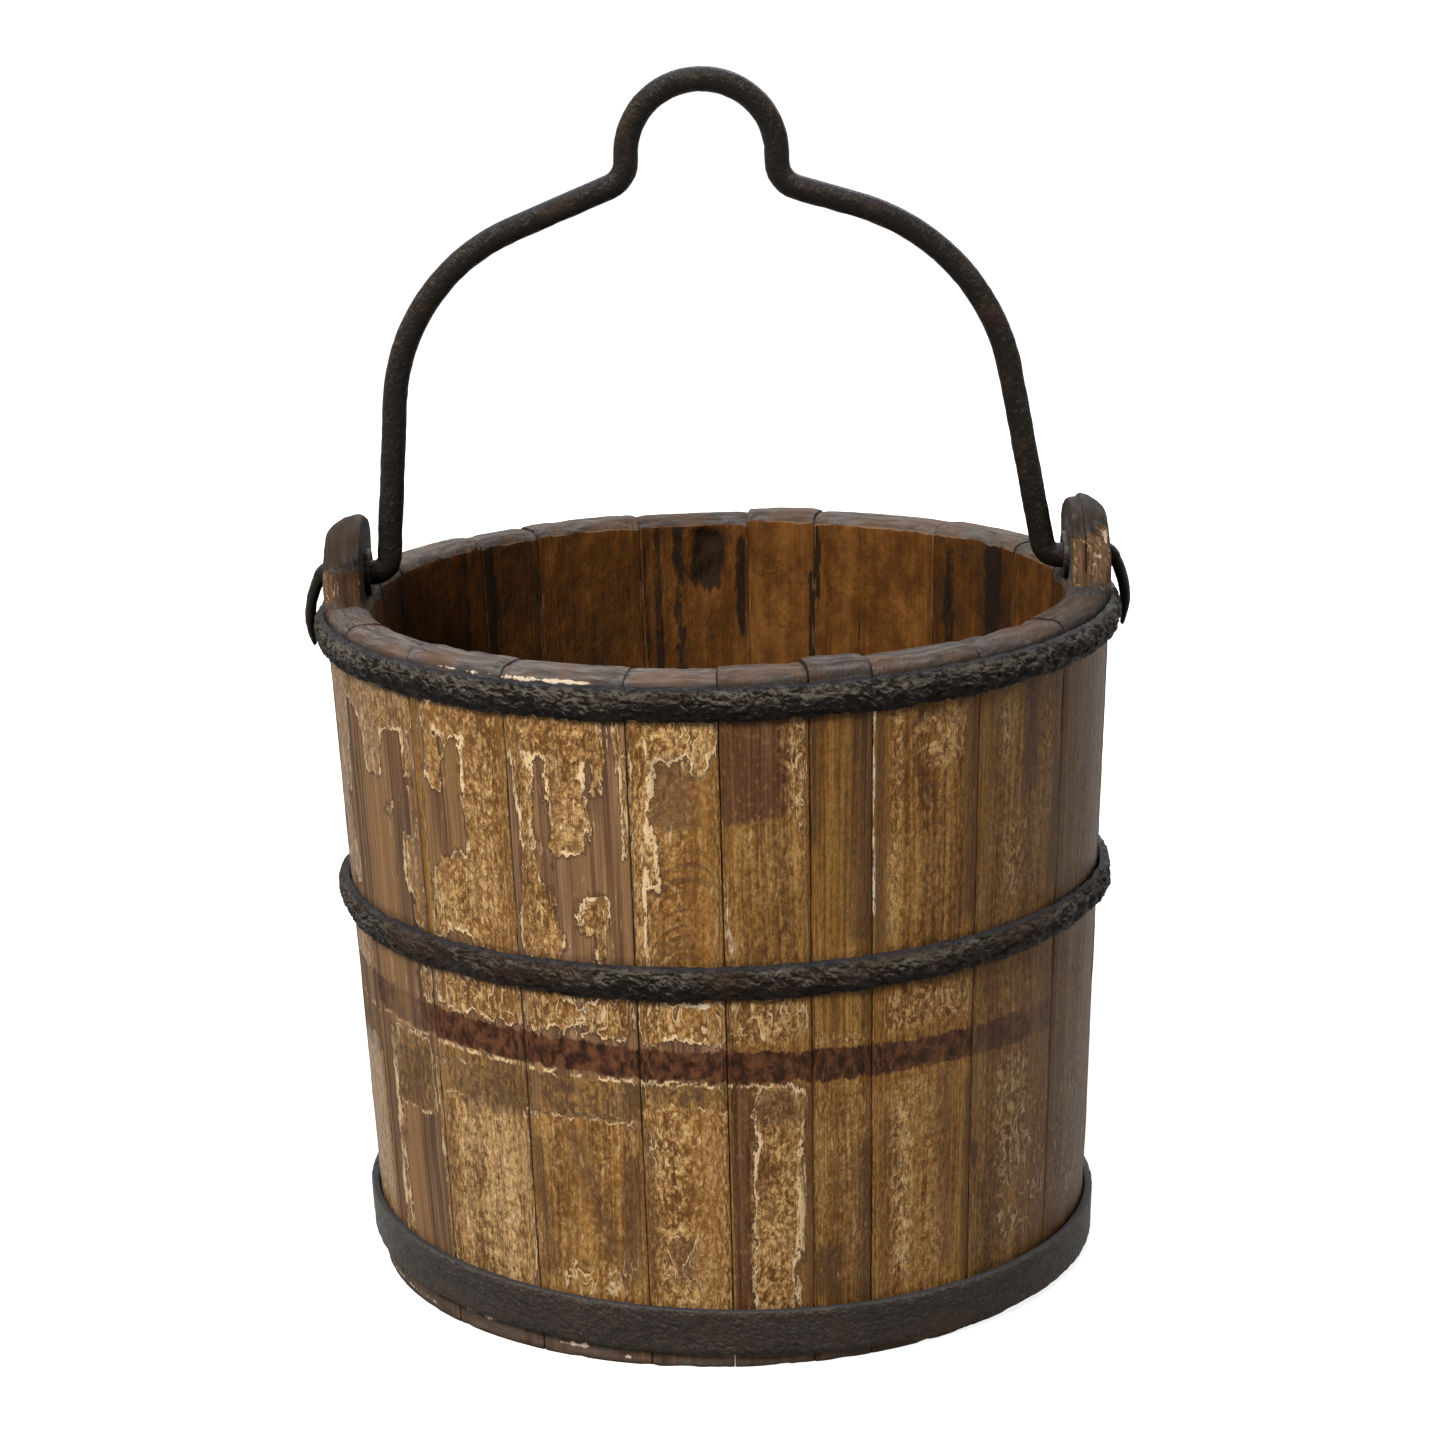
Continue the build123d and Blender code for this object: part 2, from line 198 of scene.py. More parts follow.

# Patches on the front staves. Each gives its kind, its place across as a share of
# the stave, its height, half width and half height in mm, how much wider its top is as a share,
# and its lean in mm. The last two are 0 where they are left out.
PATCHES = {
    "stave_02": (
        ("varnish", 0.55, 256, 26, 12), ("varnish", 0.4, 237, 5.6, 13, 0.1),
        ("varnish", 0.8, 236, 3.4, 10, 0.2, -1), ("varnish", 0.91, 215, 1.5, 17, 0, -0.5),
        ("varnish", 0.58, 212, 1.8, 3), ("varnish", 0.78, 191, 5.6, 13, -0.3, -1.5),
        ("varnish", 0.86, 176, 6.4, 9, 0.2), ("varnish", 0.86, 143, 6, 8, 0.2, -1),
        ("dull", 0.6, 103, 13, 16), ("varnish", 0.36, 72, 2.8, 48), ("varnish", 1, 72, 4.6, 42, 0.1),
        ("scribble", 0.84, 143, 9, 8), ("scribble", 0.86, 234, 6, 12),
    ),
    "stave_03": (
        ("clear", 0.07, 214, 4.6, 56), ("varnish", 0.62, 256, 21, 9), ("varnish", 0.3, 243, 4.8, 18),
        ("varnish", 0.77, 214, 12.5, 54), ("varnish", 0.55, 186, 13, 17, -0.1),
        ("varnish", 0.27, 179, 4.2, 14, -0.3, 1), ("varnish", 0.56, 145, 22, 9),
        ("varnish", 0.4, 70, 24, 46), ("tarnish", 0.16, 66, 1.6, 44), ("pale", 0.64, 66, 17, 42),
        ("tarnish", 0.6, 108, 18, 10), ("dull", 0.55, 111, 24, 10), ("scribble", 0.6, 145, 24, 8),
    ),
    "stave_04": (
        ("varnish", 0.36, 254, 19, 9), ("varnish", 0.2, 229, 4.6, 20, 0.2, -1),
        ("varnish", 0.25, 186, 6.6, 23, -0.45, -1.2), ("varnish", 0.51, 235, 5.6, 27, 0.15),
        ("varnish", 0.68, 247, 2.8, 16, 0, 1), ("varnish", 0.86, 252, 1.6, 10, 0, -1.5),
        ("varnish", 0.95, 227, 2.2, 20, 0.1), ("varnish", 0.63, 184, 4.4, 8),
        ("varnish", 0.66, 172, 1.6, 7), ("varnish", 0.27, 145, 12, 9), ("varnish", 0.76, 144, 11, 9),
        ("dull", 0.5, 110, 27, 9), ("smooth", 0.5, 58, 38, 46), ("tarnish", 0.82, 60, 5, 28, 0, 3),
        ("tarnish", 0.18, 62, 4, 30, 0, -3), ("tarnish", 0.55, 70, 2.5, 26, 0, -5),
        ("varnish", 0.05, 51, 2.6, 13, -0.2), ("scribble", 0.42, 34, 6.5, 6, -0.2),
        ("scribble", 0.72, 35, 7.5, 8), ("scribble", 0.05, 50, 4, 16), ("scribble", 0.5, 144, 26, 8),
    ),
    "stave_05": (
        ("scribble", 0.55, 143, 18, 8), ("scribble", 0.42, 44, 6, 14), ("scribble", 0.3, 92, 5, 8),
        ("scribble", 0.72, 258, 9, 8), ("smooth", 0.5, 212, 20, 56), ("tarnish", 0.5, 233, 6, 15),
        ("island", 0.17, 212, 4.7, 50, 0.1, 1.4), ("island", 0.3, 205, 2.8, 10),
        ("island", 0.62, 257, 14, 9), ("island", 0.46, 252, 3, 6), ("island", 0.71, 248, 4.4, 8, 0.2),
        ("varnish", 0.5, 143, 18, 9), ("varnish", 0.5, 64, 28, 54), ("dull", 0.5, 113, 18, 6),
        ("tarnish", 0.46, 44, 4, 10), ("tarnish", 0.12, 66, 2.2, 34),
    ),
    "stave_06": (
        ("scribble", 0.84, 240, 5, 22), ("scribble", 0.5, 143, 16, 8), ("block", 0.3, 243, 12.4, 21),
        ("varnish", 0.8, 244, 5.6, 20), ("tarnish", 0.96, 238, 1.6, 24),
        ("varnish", 0.86, 215, 2, 16, 0.3), ("pale", 0.05, 183, 1.6, 15, 0.2),
        ("pale", 0.16, 177, 1.2, 9, 0, -1), ("varnish", 0.46, 143, 13.6, 9), ("block", 0.2, 70, 3.8, 52),
        ("island", 0.56, 67, 8.2, 51, 0.12, 1.4), ("tarnish", 0.56, 108, 7, 8),
        ("tarnish", 0.92, 66, 4, 50), ("filled", 1, 70, 3, 50),
    ),
    "stave_07": (
        ("filled", 0, 70, 3, 50), ("smooth", 0.55, 74, 16, 42), ("tarnish", 0.8, 56, 5, 34, 0, 1),
        ("tarnish", 0.3, 38, 6, 12), ("tarnish", 0.8, 220, 6, 50), ("tarnish", 0.1, 236, 3, 26),
        ("varnish", 0.5, 133, 12, 2.4),
    ),
    "stave_08": (
        ("tarnish", 0.1, 214, 4, 46), ("tarnish", 0.88, 216, 6, 44), ("tarnish", 0.92, 66, 4, 42),
        ("varnish", 0.62, 246, 9, 12, 0.3), ("varnish", 0.27, 214, 2.4, 46, 0, 1),
        ("varnish", 0.55, 141, 22, 8), ("smooth", 0.32, 70, 15, 44), ("pale", 0.34, 66, 4, 36),
        ("tarnish", 0.2, 62, 1.4, 40, 0, 0.6), ("tarnish", 0.66, 72, 1.8, 40, 0, -0.6),
    ),
    "stave_09": (
        ("scribble", 0.7, 60, 18, 30), ("clear", 0.13, 226, 3.6, 34, 0, 1.5),
        ("varnish", 0.34, 244, 2, 15), ("block", 0.09, 74, 3.4, 5), ("varnish", 0.48, 84, 8, 26),
        ("tarnish", 0.55, 238, 4, 24, 0, 1), ("varnish", 0.74, 226, 4, 30), ("tarnish", 0.88, 200, 4, 26),
        ("varnish", 0.44, 192, 4, 16, 0.2),
    ),
    "stave_10": (
        ("scribble", 0.45, 70, 22, 34), ("varnish", 0.2, 82, 14, 3.5), ("varnish", 0.3, 42, 18, 9),
    ),
}

# Pale crumbs left beside the hoops and in the seams, and a pale dash just under the middle hoop on
# stave_05, in the same form but without a kind
CRUMBS = {
    "stave_01": (
        (0.7, 2.6, 9, 0.4),
    ),
    "stave_02": (
        (0.4, 2.8, 12, 0.5), (0.5, 6, 6, 0.5),
    ),
    "stave_03": (
        (0.6, 275.7, 12, 0.7), (0.35, 6.6, 9, 0.8), (0.8, 3.6, 8, 0.7),
    ),
    "stave_04": (
        (0.3, 275.9, 20, 0.8), (0.3, 5.4, 8, 0.8), (0.74, 3.2, 8, 0.7),
    ),
    "stave_05": (
        (0.64, 149.5, 3.8, 1.2), (0.4, 3.6, 9, 0.5),
    ),
    "stave_06": (
        (0.07, 183, 0.9, 12), (0.16, 172, 0.5, 9, 0, -0.8), (0.76, 229, 1.2, 1.4),
    ),
    "stave_08": (
        (0.015, 222, 1.1, 42),
    ),
}

# Staves sawn near the heart, whose grain stands in arches: the middle of the arches as a share
# of the stave's width, and their height in mm
ARCHED_GRAIN = {
    "stave_05": (0.60, 192.0), "stave_08": (0.52, 236.0), "stave_12": (0.45, 80.0),
    "stave_15": (0.60, 180.0), "stave_18": (0.40, 70.0),
}

# Dark marks on the inside of the back staves, in the form of the crumbs
INSIDE_MARKS = {
    "stave_12": (
        (0.35, 250, 4, 34), (0.75, 244, 1.8, 26),
    ),
    "stave_13": (
        (0.96, 262, 3, 20),
    ),
    "stave_14": (
        (0.03, 232, 4, 22),
    ),
    "stave_15": (
        (0.39, 259, 5.2, 14), (0.12, 246, 3, 22), (0.75, 240, 1.6, 60), (0.6, 232, 1, 46),
        (0.9, 236, 1, 50),
    ),
    "stave_17": (
        (0.8, 240, 3, 60),
    ),
    "stave_18": (
        (0.3, 235, 2, 50),
    ),
    "stave_19": (
        (0.2, 250, 2.5, 30),
    ),
}

# How light each stave is on its inside, from 0 to 1
PLAIN_TONE = 0.4
INSIDE_TONE = {
    "stave_09": 0.3, "stave_10": 0.35, "stave_11": 0.55, "stave_12": 0.3, "stave_13": 0.55,
    "stave_14": 0.7, "stave_15": 0.5, "stave_17": 0.15, "stave_18": 0.2, "stave_19": 0.2,
}

# The dead knot on the inside: its stave, its place across and its height
KNOT_STAVE, KNOT_ACROSS, KNOT_HEIGHT = "stave_15", 0.39, 259.0 * MM

# The lost hoop's stain: its height on the axis, its fall to the right, and half its width in mm
STAIN_HEIGHT, STAIN_SLOPE, STAIN_HALF = 124.8 * MM, 0.037, 6.4

# Radius at which the length round a hoop is measured for its dents
HOOP_RADIUS = 160.0 * MM

# What is painted where a patch is far away, in mm
FAR_OUTSIDE = -9.0

# A distance from a seam at which no grime lies, in mm
CLEAR_OF_SEAMS = 9.0

# What is painted on the staves: the reach of each kind of patch, and marks of age and wear
PATCH_LAYERS = ("varnish", "island", "pale", "block", "dull", "scribble", "tarnish", "filled")
WEAR_LAYERS = ("arch", "crumbs", "inside", "tone", "weather", "seam", "wet")


def smooth(low, high, value):
    """0 below low, 1 above high, and a soft step between."""
    share = min(1.0, max(0.0, (value - low) / (high - low)))
    return share * share * (3.0 - 2.0 * share)


def wall_radius(sizes, height):
    """Outside radius of the wood at a height."""
    return sizes.foot_radius + (sizes.rim_radius - sizes.foot_radius) * height / sizes.rim_height


def turn_past(point, middle):
    """The angle of a point about the axis past a middle angle, either way."""
    turn = math.atan2(point.y, point.x) - middle
    return math.atan2(math.sin(turn), math.cos(turn))


def stave_span(name):
    """The angles of a stave's two seams, read from its CAD node."""
    low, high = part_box(name)
    middle = math.atan2(low.y + high.y, low.x + high.x)
    turns = [turn_past(vertex.co, middle) for vertex in frame["nodes"][name].data.vertices]
    return middle + min(turns), middle + max(turns)


def reach_inside(across, up, half_width, half_height, taper=0.0, lean=0.0, soft=0.9):
    """How far a point is inside a leaning, tapered box with round ends, and less than 0 outside."""
    rise = min(1.0, max(-1.0, up / half_height))
    across = across - lean * rise
    half_width = half_width * (1.0 + taper * rise)
    corner = soft * min(half_width, half_height)
    over = abs(across) - half_width + corner
    rise = abs(up) - half_height + corner
    return corner - math.hypot(max(over, 0.0), max(rise, 0.0)) - min(max(over, rise), 0.0)


def deepest(marks, share, width, height):
    """How far a point of a stave is inside the mark that holds it best, in mm."""
    reaches = [
        reach_inside((share - place) * width / MM, height / MM - up, *shape) for place, up, *shape in marks
    ]
    return max(reaches, default=FAR_OUTSIDE)


def round_corners(bm, corners, size, segments):
    """Round the corners of a flat section."""
    bmesh.ops.bevel(
        bm, geom=corners, offset=size, offset_type="OFFSET", segments=segments, profile=0.5,
        affect="VERTICES", material=-1,
    )


def rounded_section(outline, size, segments):
    """A closed line in the XZ plane with round corners."""
    bm = bmesh.new()
    corners = [bm.verts.new((reach, 0.0, up)) for reach, up in outline]
    bm.faces.new(corners)
    round_corners(bm, corners, size, segments)
    bmesh.ops.delete(bm, geom=bm.faces[:], context="FACES_ONLY")
    return bm


def spin_round(bm, centre, axis, steps):
    """Spin a section all the way round, and close it."""
    bmesh.ops.spin(
        bm, geom=bm.verts[:] + bm.edges[:], cent=centre, axis=axis, angle=2.0 * math.pi, steps=steps,
        use_merge=True,
    )
    bmesh.ops.remove_doubles(bm, verts=bm.verts, dist=0.001 * MM)
    bmesh.ops.recalc_face_normals(bm, faces=bm.faces)


def finish_mesh(bm, name, material, body, slot, *nodes):
    """Turn a bmesh into a piece that rides on a body and stands for CAD nodes."""
    bmesh.ops.recalc_face_normals(bm, faces=bm.faces)
    for face in bm.faces:
        face.smooth = True
    mesh = bpy.data.meshes.new(name)
    bm.to_mesh(mesh)
    bm.free()
    mesh.materials.append(material)
    piece = bpy.data.objects.new(name, mesh)
    bpy.context.scene.collection.objects.link(piece)
    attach(piece, body)
    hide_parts(*nodes)
    return piece


class Nodes:
    """A node tree, with short ways to add its nodes."""

    def __init__(self, tree):
        self.tree = tree

    def feed(self, socket, value):
        """Link a socket, or set its value."""
        if isinstance(value, bpy.types.NodeSocket):
            self.tree.links.new(value, socket)
        else:
            socket.default_value = (*value, 1.0) if socket.type == "RGBA" else value

    def node(self, kind, inputs, **settings):
        """A node with its settings and its inputs by name or number."""
        made = self.tree.nodes.new("ShaderNode" + kind)
        for key, value in settings.items():
            setattr(made, key, value)
        for key, value in inputs.items():
            self.feed(made.inputs[key], value)
        return made

    def sum(self, operation, first, second, third=0.0):
        """A sum, by the node's own word for it."""
        return self.node("Math", {0: first, 1: second, 2: third}, operation=operation).outputs[0]

    def plus(self, first, second):
        """Two values added."""
        return self.sum("ADD", first, second)

    def less(self, first, second):
        """The first value less the second."""
        return self.sum("SUBTRACT", first, second)

    def larger(self, first, second):
        """The larger of two values."""
        return self.sum("MAXIMUM", first, second)

    def times(self, first, *others):
        """Values multiplied."""
        for other in others:
            first = self.sum("MULTIPLY", first, other)
        return first

    def weigh(self, base, *rows):
        """A base, and values added to it by weight."""
        for value, weight in rows:
            base = self.sum("MULTIPLY_ADD", value, weight, base)
        return base

    def gap(self, value, level):
        """How far a value is from a level, either way."""
        return self.sum("ABSOLUTE", self.less(value, level), 0.0)

    def step(self, value, low, high):
        """A soft step from 0 to 1, or from 1 to 0 where low is the higher."""
        inputs = {"Value": value, "From Min": low, "From Max": high}
        return self.node("MapRange", inputs, interpolation_type="SMOOTHSTEP").outputs["Result"]

    def line(self, value, level, edge, core):
        """A thin line along which a value is at a level."""
        return self.step(self.gap(value, level), edge, core)

    def seen(self):
        """1 for what the camera sees, straight or in metal or glass, and 0 for light on the bucket."""
        rays = self.node("LightPath", {}).outputs
        mirrored = self.larger(rays["Is Glossy Ray"], rays["Is Transmission Ray"])
        return self.larger(rays["Is Camera Ray"], mirrored)


class Finish(Nodes):
    """A material, with short ways to paint it."""

    def __init__(self, name, colours=None):
        self.material = bpy.data.materials.new(name)
        self.material.use_nodes = True
        super().__init__(self.material.node_tree)
        self.shader = self.tree.nodes["Principled BSDF"]
        self.colours = colours

    def object_place(self):
        """Object coordinates."""
        return self.node("TexCoord", {}).outputs["Object"]

    def painted(self, name, output="Fac"):
        """A value painted on the mesh."""
        return self.node("Attribute", {}, attribute_name=name).outputs[output]

    def part(self, vector, axis):
        """One part of a vector."""
        return self.node("SeparateXYZ", {0: vector}).outputs[axis]

    def noise(self, vector, scale, detail=3.0, rough=0.55, twist=0.0):
        """Cloudy noise, with its own scale along each axis."""
        stretched = self.node("Mapping", {"Vector": vector, "Scale": scale}).outputs["Vector"]
        inputs = {
            "Vector": stretched, "Scale": 1.0, "Detail": detail, "Roughness": rough, "Distortion": twist,
        }
        return self.node("TexNoise", inputs).outputs["Fac"]

    def mix(self, share, first, second, most=None):
        """Two colours mixed by a share, or by no more than the most of it."""
        if most is not None:
            share = self.times(share, most)
        mixer = self.node("Mix", {0: share}, data_type="RGBA")
        self.feed(mixer.inputs[6], first)
        self.feed(mixer.inputs[7], second)
        return mixer.outputs[2]

    def tones(self, value, **places):
        """The bucket's colours along a value, each by its name and place."""
        made = self.node("ValToRGB", {"Fac": value})
        elements = made.color_ramp.elements
        while len(elements) < len(places):
            elements.new(0.5)
        for element, (key, place) in zip(elements, places.items()):
            element.position = place
            element.color = (*getattr(self.colours, key), 1.0)
        return made.outputs["Color"]

    def coat(self, skin, rough, relief, depth, shine=0.5):
        """Set the shader's colour, roughness, relief and shine."""
        self.feed(self.shader.inputs["Base Color"], skin)
        self.feed(self.shader.inputs["Roughness"], rough)
        self.shader.inputs["Specular IOR Level"].default_value = shine
        bump = self.node("Bump", {"Height": relief, "Distance": depth, "Strength": 1.0})
        self.feed(self.shader.inputs["Normal"], bump.outputs["Normal"])
        return self.material


class StaveFinish(Finish):
    """Wood under flaking varnish, with a lost hoop's stain, weathered rims and a dark inside."""

    def __init__(self, colours):
        super().__init__("flaked_varnish_wood", colours)
        self.grain = self.painted("grain", "Vector")
        self.fibre = self.grain_noise((1100, 1100, 16), 4.0, 0.62)
        self.streak = self.grain_noise((110, 110, 7), 3.0, 0.6)
        self.speck = self.grain_noise((620, 620, 260), 4.0, 0.68)
        self.cloud = self.grain_noise((55, 55, 26), 3.0, 0.6)
        self.ragged = self.grain_noise((230, 230, 70), 5.0, 0.66)
        self.craze = self.grain_noise((560, 560, 300), 3.0, 0.6)
        self.tint = self.grain_noise((75, 75, 1.6), 2.0, 0.6)
        self.lumpy = self.grain_noise((190, 190, 100), 4.0, 0.62)
        figure = self.grain_noise((330, 330, 2.4), 3.0, 0.6, 0.3)
        self.wood = self.weigh(0.0, (self.fibre, 0.3), (figure, 0.4), (self.streak, 0.3))
        self.mottle = self.weigh(0.0, (self.cloud, 0.25), (self.speck, 0.5), (self.wood, 0.25))
        self.lift = self.weigh(-13.0, (self.ragged, 13.0), (self.streak, 9.0), (self.speck, 4.0))
        check = self.step(self.grain_noise((520, 520, 3.2), 2.0, 0.5, 0.2), 0.36, 0.29)
        self.check = self.times(check, self.step(self.cloud, 0.48, 0.6))
        # The age's second part is each stave's darkness, the darker foot and ear domes, and the painted
        # shade along the hoops' edges
        age = self.painted("age", "Vector")
        self.even, self.dark, self.grey = (self.part(age, axis) for axis in ("X", "Y", "Z"))
        self.inner = self.painted("inside")
        self.outer = self.less(1.0, self.inner)
        self.seam = self.painted("seam")

        film, island = self.torn("varnish"), self.torn("island")
        self.cover, self.on_island = (self.step(edge, -0.1, 0.2) for edge in (film, island))
        lip_width = self.weigh(-4.7, (self.grain_noise((140, 140, 60), 3.0, 0.6), 11.0))
        lip = self.times(self.cover, self.step(self.less(film, lip_width), 0.4, -0.4))
        island_lip = self.times(self.on_island, self.step(self.less(island, lip_width), 1.0, 0.2))
        self.lip = self.larger(lip, island_lip)
        shades = [
            self.times(self.step(edge, -1.6, -0.1), self.step(edge, 0.1, -0.1)) for edge in (film, island)
        ]
        self.shade = self.larger(*shades)
        self.pallid = self.step(self.torn("pale", 2.0), -2.0, 5.0)

    def grain_noise(self, scale, detail=3.0, rough=0.55, twist=0.0):
        """Noise that follows the grain: across it, through the wall and along it."""
        return self.noise(self.grain, scale, detail, rough, twist)

    def torn(self, name, tear=1.0):
        """How far a point is inside the torn edge of a painted patch, in mm."""
        return self.weigh(self.painted(name), (self.lift, tear))

    def varnish(self):
        """The rough, clear and pale films of old varnish."""
        colours = self.colours
        crack = self.grain_noise((300, 300, 150), 3.0, 0.6, 0.4)
        hairs = self.line(self.craze, 0.5, 0.04, 0.01)
        veins = self.larger(self.line(crack, 0.5, 0.045, 0.01), self.times(hairs, 0.75))
        rough_film = self.tones(self.mottle, varnish_deep=0.44, varnish_gold=0.495, varnish_pale=0.56)
        rough_film = self.mix(self.step(crack, 0.56, 0.64), rough_film, colours.varnish_pale)
        rough_film = self.mix(self.step(self.craze, 0.57, 0.65), rough_film, colours.cream, 0.4)
        rough_film = self.mix(veins, rough_film, colours.varnish_deep, 0.8)
        pale_film = self.tones(self.mottle, varnish_deep=0.43, varnish_pale=0.5, cream=0.6)
        pale_film = self.mix(veins, pale_film, colours.bare_wood, 0.6)
        blotch = self.weigh(0.0, (self.mottle, 0.4), (self.wood, 0.6))
        clear_film = self.tones(blotch, amber_deep=0.445, amber=0.5, amber_pale=0.555)
        clear_film = self.mix(hairs, clear_film, colours.amber_deep, 0.3)
        varnish = self.mix(self.even, rough_film, clear_film)
        varnish = self.mix(self.step(self.tint, 0.52, 0.36), varnish, colours.amber, 0.4)
        varnish = self.mix(self.pallid, varnish, pale_film, 0.75)
        return self.mix(self.on_island, varnish, rough_film)

    def flaked_wood(self):
        """Bare wood with what is left of the varnish, and the lines, holes and pale lips in both."""
        colours = self.colours
        bare = self.tones(self.wood, bare_dark=0.435, bare_wood=0.5, bare_pale=0.575)
        bare = self.mix(self.step(self.tint, 0.46, 0.6), bare, colours.orange, 0.7)
        skin = self.mix(self.cover, bare, self.varnish())
        year = self.noise(self.painted("rings", "Vector"), (470, 470, 3.0), 2.0, 0.5, 0.2)
        broken = self.step(self.grain_noise((90, 90, 20)), 0.36, 0.5)
        year = self.times(self.line(year, 0.5, 0.05, 0.012), broken, self.painted("arch"))
        lines = self.larger(self.times(self.check, 0.6), self.times(year, 0.42))
        skin = self.mix(lines, skin, colours.bare_dark)
        skin = self.mix(self.step(self.torn("tarnish", 0.8), -3.0, 4.0), skin, colours.bare_dark, 0.65)
        skin = self.mix(self.shade, skin, colours.bare_dark, 0.75)
        flecks = self.step(self.grain_noise((500, 500, 80), 3.0, 0.6), 0.62, 0.68)
        flecks = self.times(flecks, self.step(self.cloud, 0.4, 0.58), self.weigh(0.3, (self.cover, 0.5)))
        flaky = self.weigh(1.0, (self.even, -0.85))
        skin = self.mix(self.times(self.larger(self.lip, flecks), flaky), skin, colours.cream)
        holes = self.step(self.grain_noise((330, 330, 90), 4.0, 0.65), 0.38, 0.31)
        return self.mix(holes, skin, colours.bare_dark, 0.7)

    def old_marks(self, skin):
        """Curled film edges, dark blocks and the dull film under the lost hoop."""
        colours = self.colours
        curl = self.grain_noise((190, 190, 75), 2.0, 0.5, 0.6)
        scribbled = self.step(self.torn("scribble"), -1.0, 1.5)
        scribbled = self.times(scribbled, self.step(self.ragged, 0.42, 0.56), 0.7)
        dark_line = self.line(curl, 0.545, 0.026, 0.01)
        light_line = self.line(curl, 0.5, 0.024, 0.01)
        skin = self.mix(self.times(scribbled, dark_line), skin, colours.bare_dark)
        skin = self.mix(self.times(scribbled, light_line), skin, colours.cream)

        blocked = self.tones(self.wood, inside_dark=0.39, block=0.5, bare_wood=0.63)
        blocked = self.mix(self.step(self.craze, 0.55, 0.65), blocked, colours.orange, 0.4)
        skin = self.mix(self.step(self.torn("block"), -1.0, 1.2), skin, blocked, 0.9)

        dull_edge = self.torn("dull")
        dusty = self.times(self.step(dull_edge, -0.2, 0.3), self.step(self.streak, 0.7, 0.5))
        dull_film = self.tones(self.mottle, bare_dark=0.43, dull=0.5, amber_pale=0.6)
        skin = self.mix(dusty, skin, dull_film, 0.9)
        dull_lip = self.times(
            self.step(dull_edge, -0.2, 0.2), self.step(dull_edge, 1.2, 0.6),
            self.step(self.ragged, 0.45, 0.54), self.weigh(0.75, (self.pallid, -0.75)),
        )
        return self.mix(dull_lip, skin, colours.cream)

    def hoop_stain(self, skin):
        """The stain of the lost hoop, with a pale line under its left half."""
        colours = self.colours
        place = self.object_place()
        right = self.part(place, "X")
        offset = self.plus(self.part(place, "Z"), self.weigh(-STAIN_HEIGHT, (right, STAIN_SLOPE)))
        uneven = self.weigh(STAIN_HALF, (self.lift, 0.6))
        band = self.weigh(uneven, (self.gap(offset, 0.0), -1.0 / MM))
        kept = self.times(self.outer, self.step(self.plus(self.cloud, self.grey), 1.25, 0.55))
        patchy = self.grain_noise((300, 300, 170), 5.0, 0.65, 0.3)
        rusty = self.mix(self.step(patchy, 0.38, 0.64), colours.stain, colours.stain_red)
        skin = self.mix(self.times(self.step(band, -0.3, 0.8), kept), skin, rusty, 0.95)
        under = self.times(
            self.step(band, -1.9, -1.1), self.step(band, -0.2, -0.7),
            self.step(offset, 1.0 * MM, -1.0 * MM), self.step(self.ragged, 0.46, 0.58),
            self.step(right, 40.0 * MM, 0.0), kept,
        )
        return self.mix(under, skin, colours.cream)

    def soaked_inside(self, skin):
        """The dark, water-soaked inner wall, with a painted highlight along the seams' edges."""
        colours = self.colours
        soaked = self.grain_noise((50, 50, 22), 5.0, 0.68, 0.5)
        shown = self.weigh(
            0.0, (self.wood, 0.3), (soaked, 0.3), (self.lumpy, 0.25), (self.painted("tone"), 0.24)
        )
        inside = self.tones(shown, inside_deep=0.43, inside_wood=0.545, inside_pale=0.66)
        inside = self.mix(self.step(self.torn("wet"), -1.2, 1.2), inside, colours.iron_dark, 0.85)
        inside = self.mix(self.check, inside, colours.iron_dark, 0.8)
        # Painted highlight in a broken pale line along the seams' edges inside
        painted_seam_highlight = self.times(self.step(self.seam, 4.5, 2.5), self.step(self.ragged, 0.52, 0.62))
        inside = self.mix(painted_seam_highlight, inside, colours.bare_pale, 0.5)
        return self.mix(self.inner, skin, inside)

    def weathering(self, skin):
        """Greyed wood, the bare rim, darker wood with painted shade along the hoops' edges, grime in the
        seams and pale crumbs.
        """
        colours = self.colours
        ashen = self.mix(0.55, skin, colours.grey_wood)
        skin = self.mix(self.times(self.grey, self.outer, self.step(self.cloud, 0.25, 0.75)), skin, ashen)
        brushed = self.grain_noise((90, 420, 420), 4.0, 0.6, 0.4)
        weathered = self.tones(brushed, grey_dark=0.32, grey_wood=0.5, grey_pale=0.68)
        weathered = self.mix(self.step(self.cloud, 0.45, 0.58), weathered, colours.bare_wood, 0.45)
        worn = self.weigh(self.painted("weather"), (self.ragged, 0.4), (self.cloud, 0.8))
        self.exposed = self.step(worn, 0.9, 1.2)
        skin = self.mix(self.exposed, skin, weathered)
        frayed = self.times(
            self.step(self.exposed, 0.05, 0.5), self.step(self.exposed, 1.0, 0.6), self.inner,
            self.step(self.cloud, 0.42, 0.55),
        )
        skin = self.mix(frayed, skin, colours.bare_pale)
        # Darker staves, foot and ear domes, with the painted shade along the hoops' edges
        skin = self.mix(self.dark, skin, colours.iron_dark, 0.82)
        grime = self.weigh(self.seam, (self.grain_noise((60, 60, 45), 4.0, 0.65), 5.0))
        skin = self.mix(self.step(grime, 3.7, 2.4), skin, colours.inside_dark, 0.85)
        crumbs = self.step(self.torn("crumbs", 0.3), -0.1, 0.4)
        return self.mix(self.times(crumbs, self.step(self.speck, 0.36, 0.48)), skin, colours.crumb)


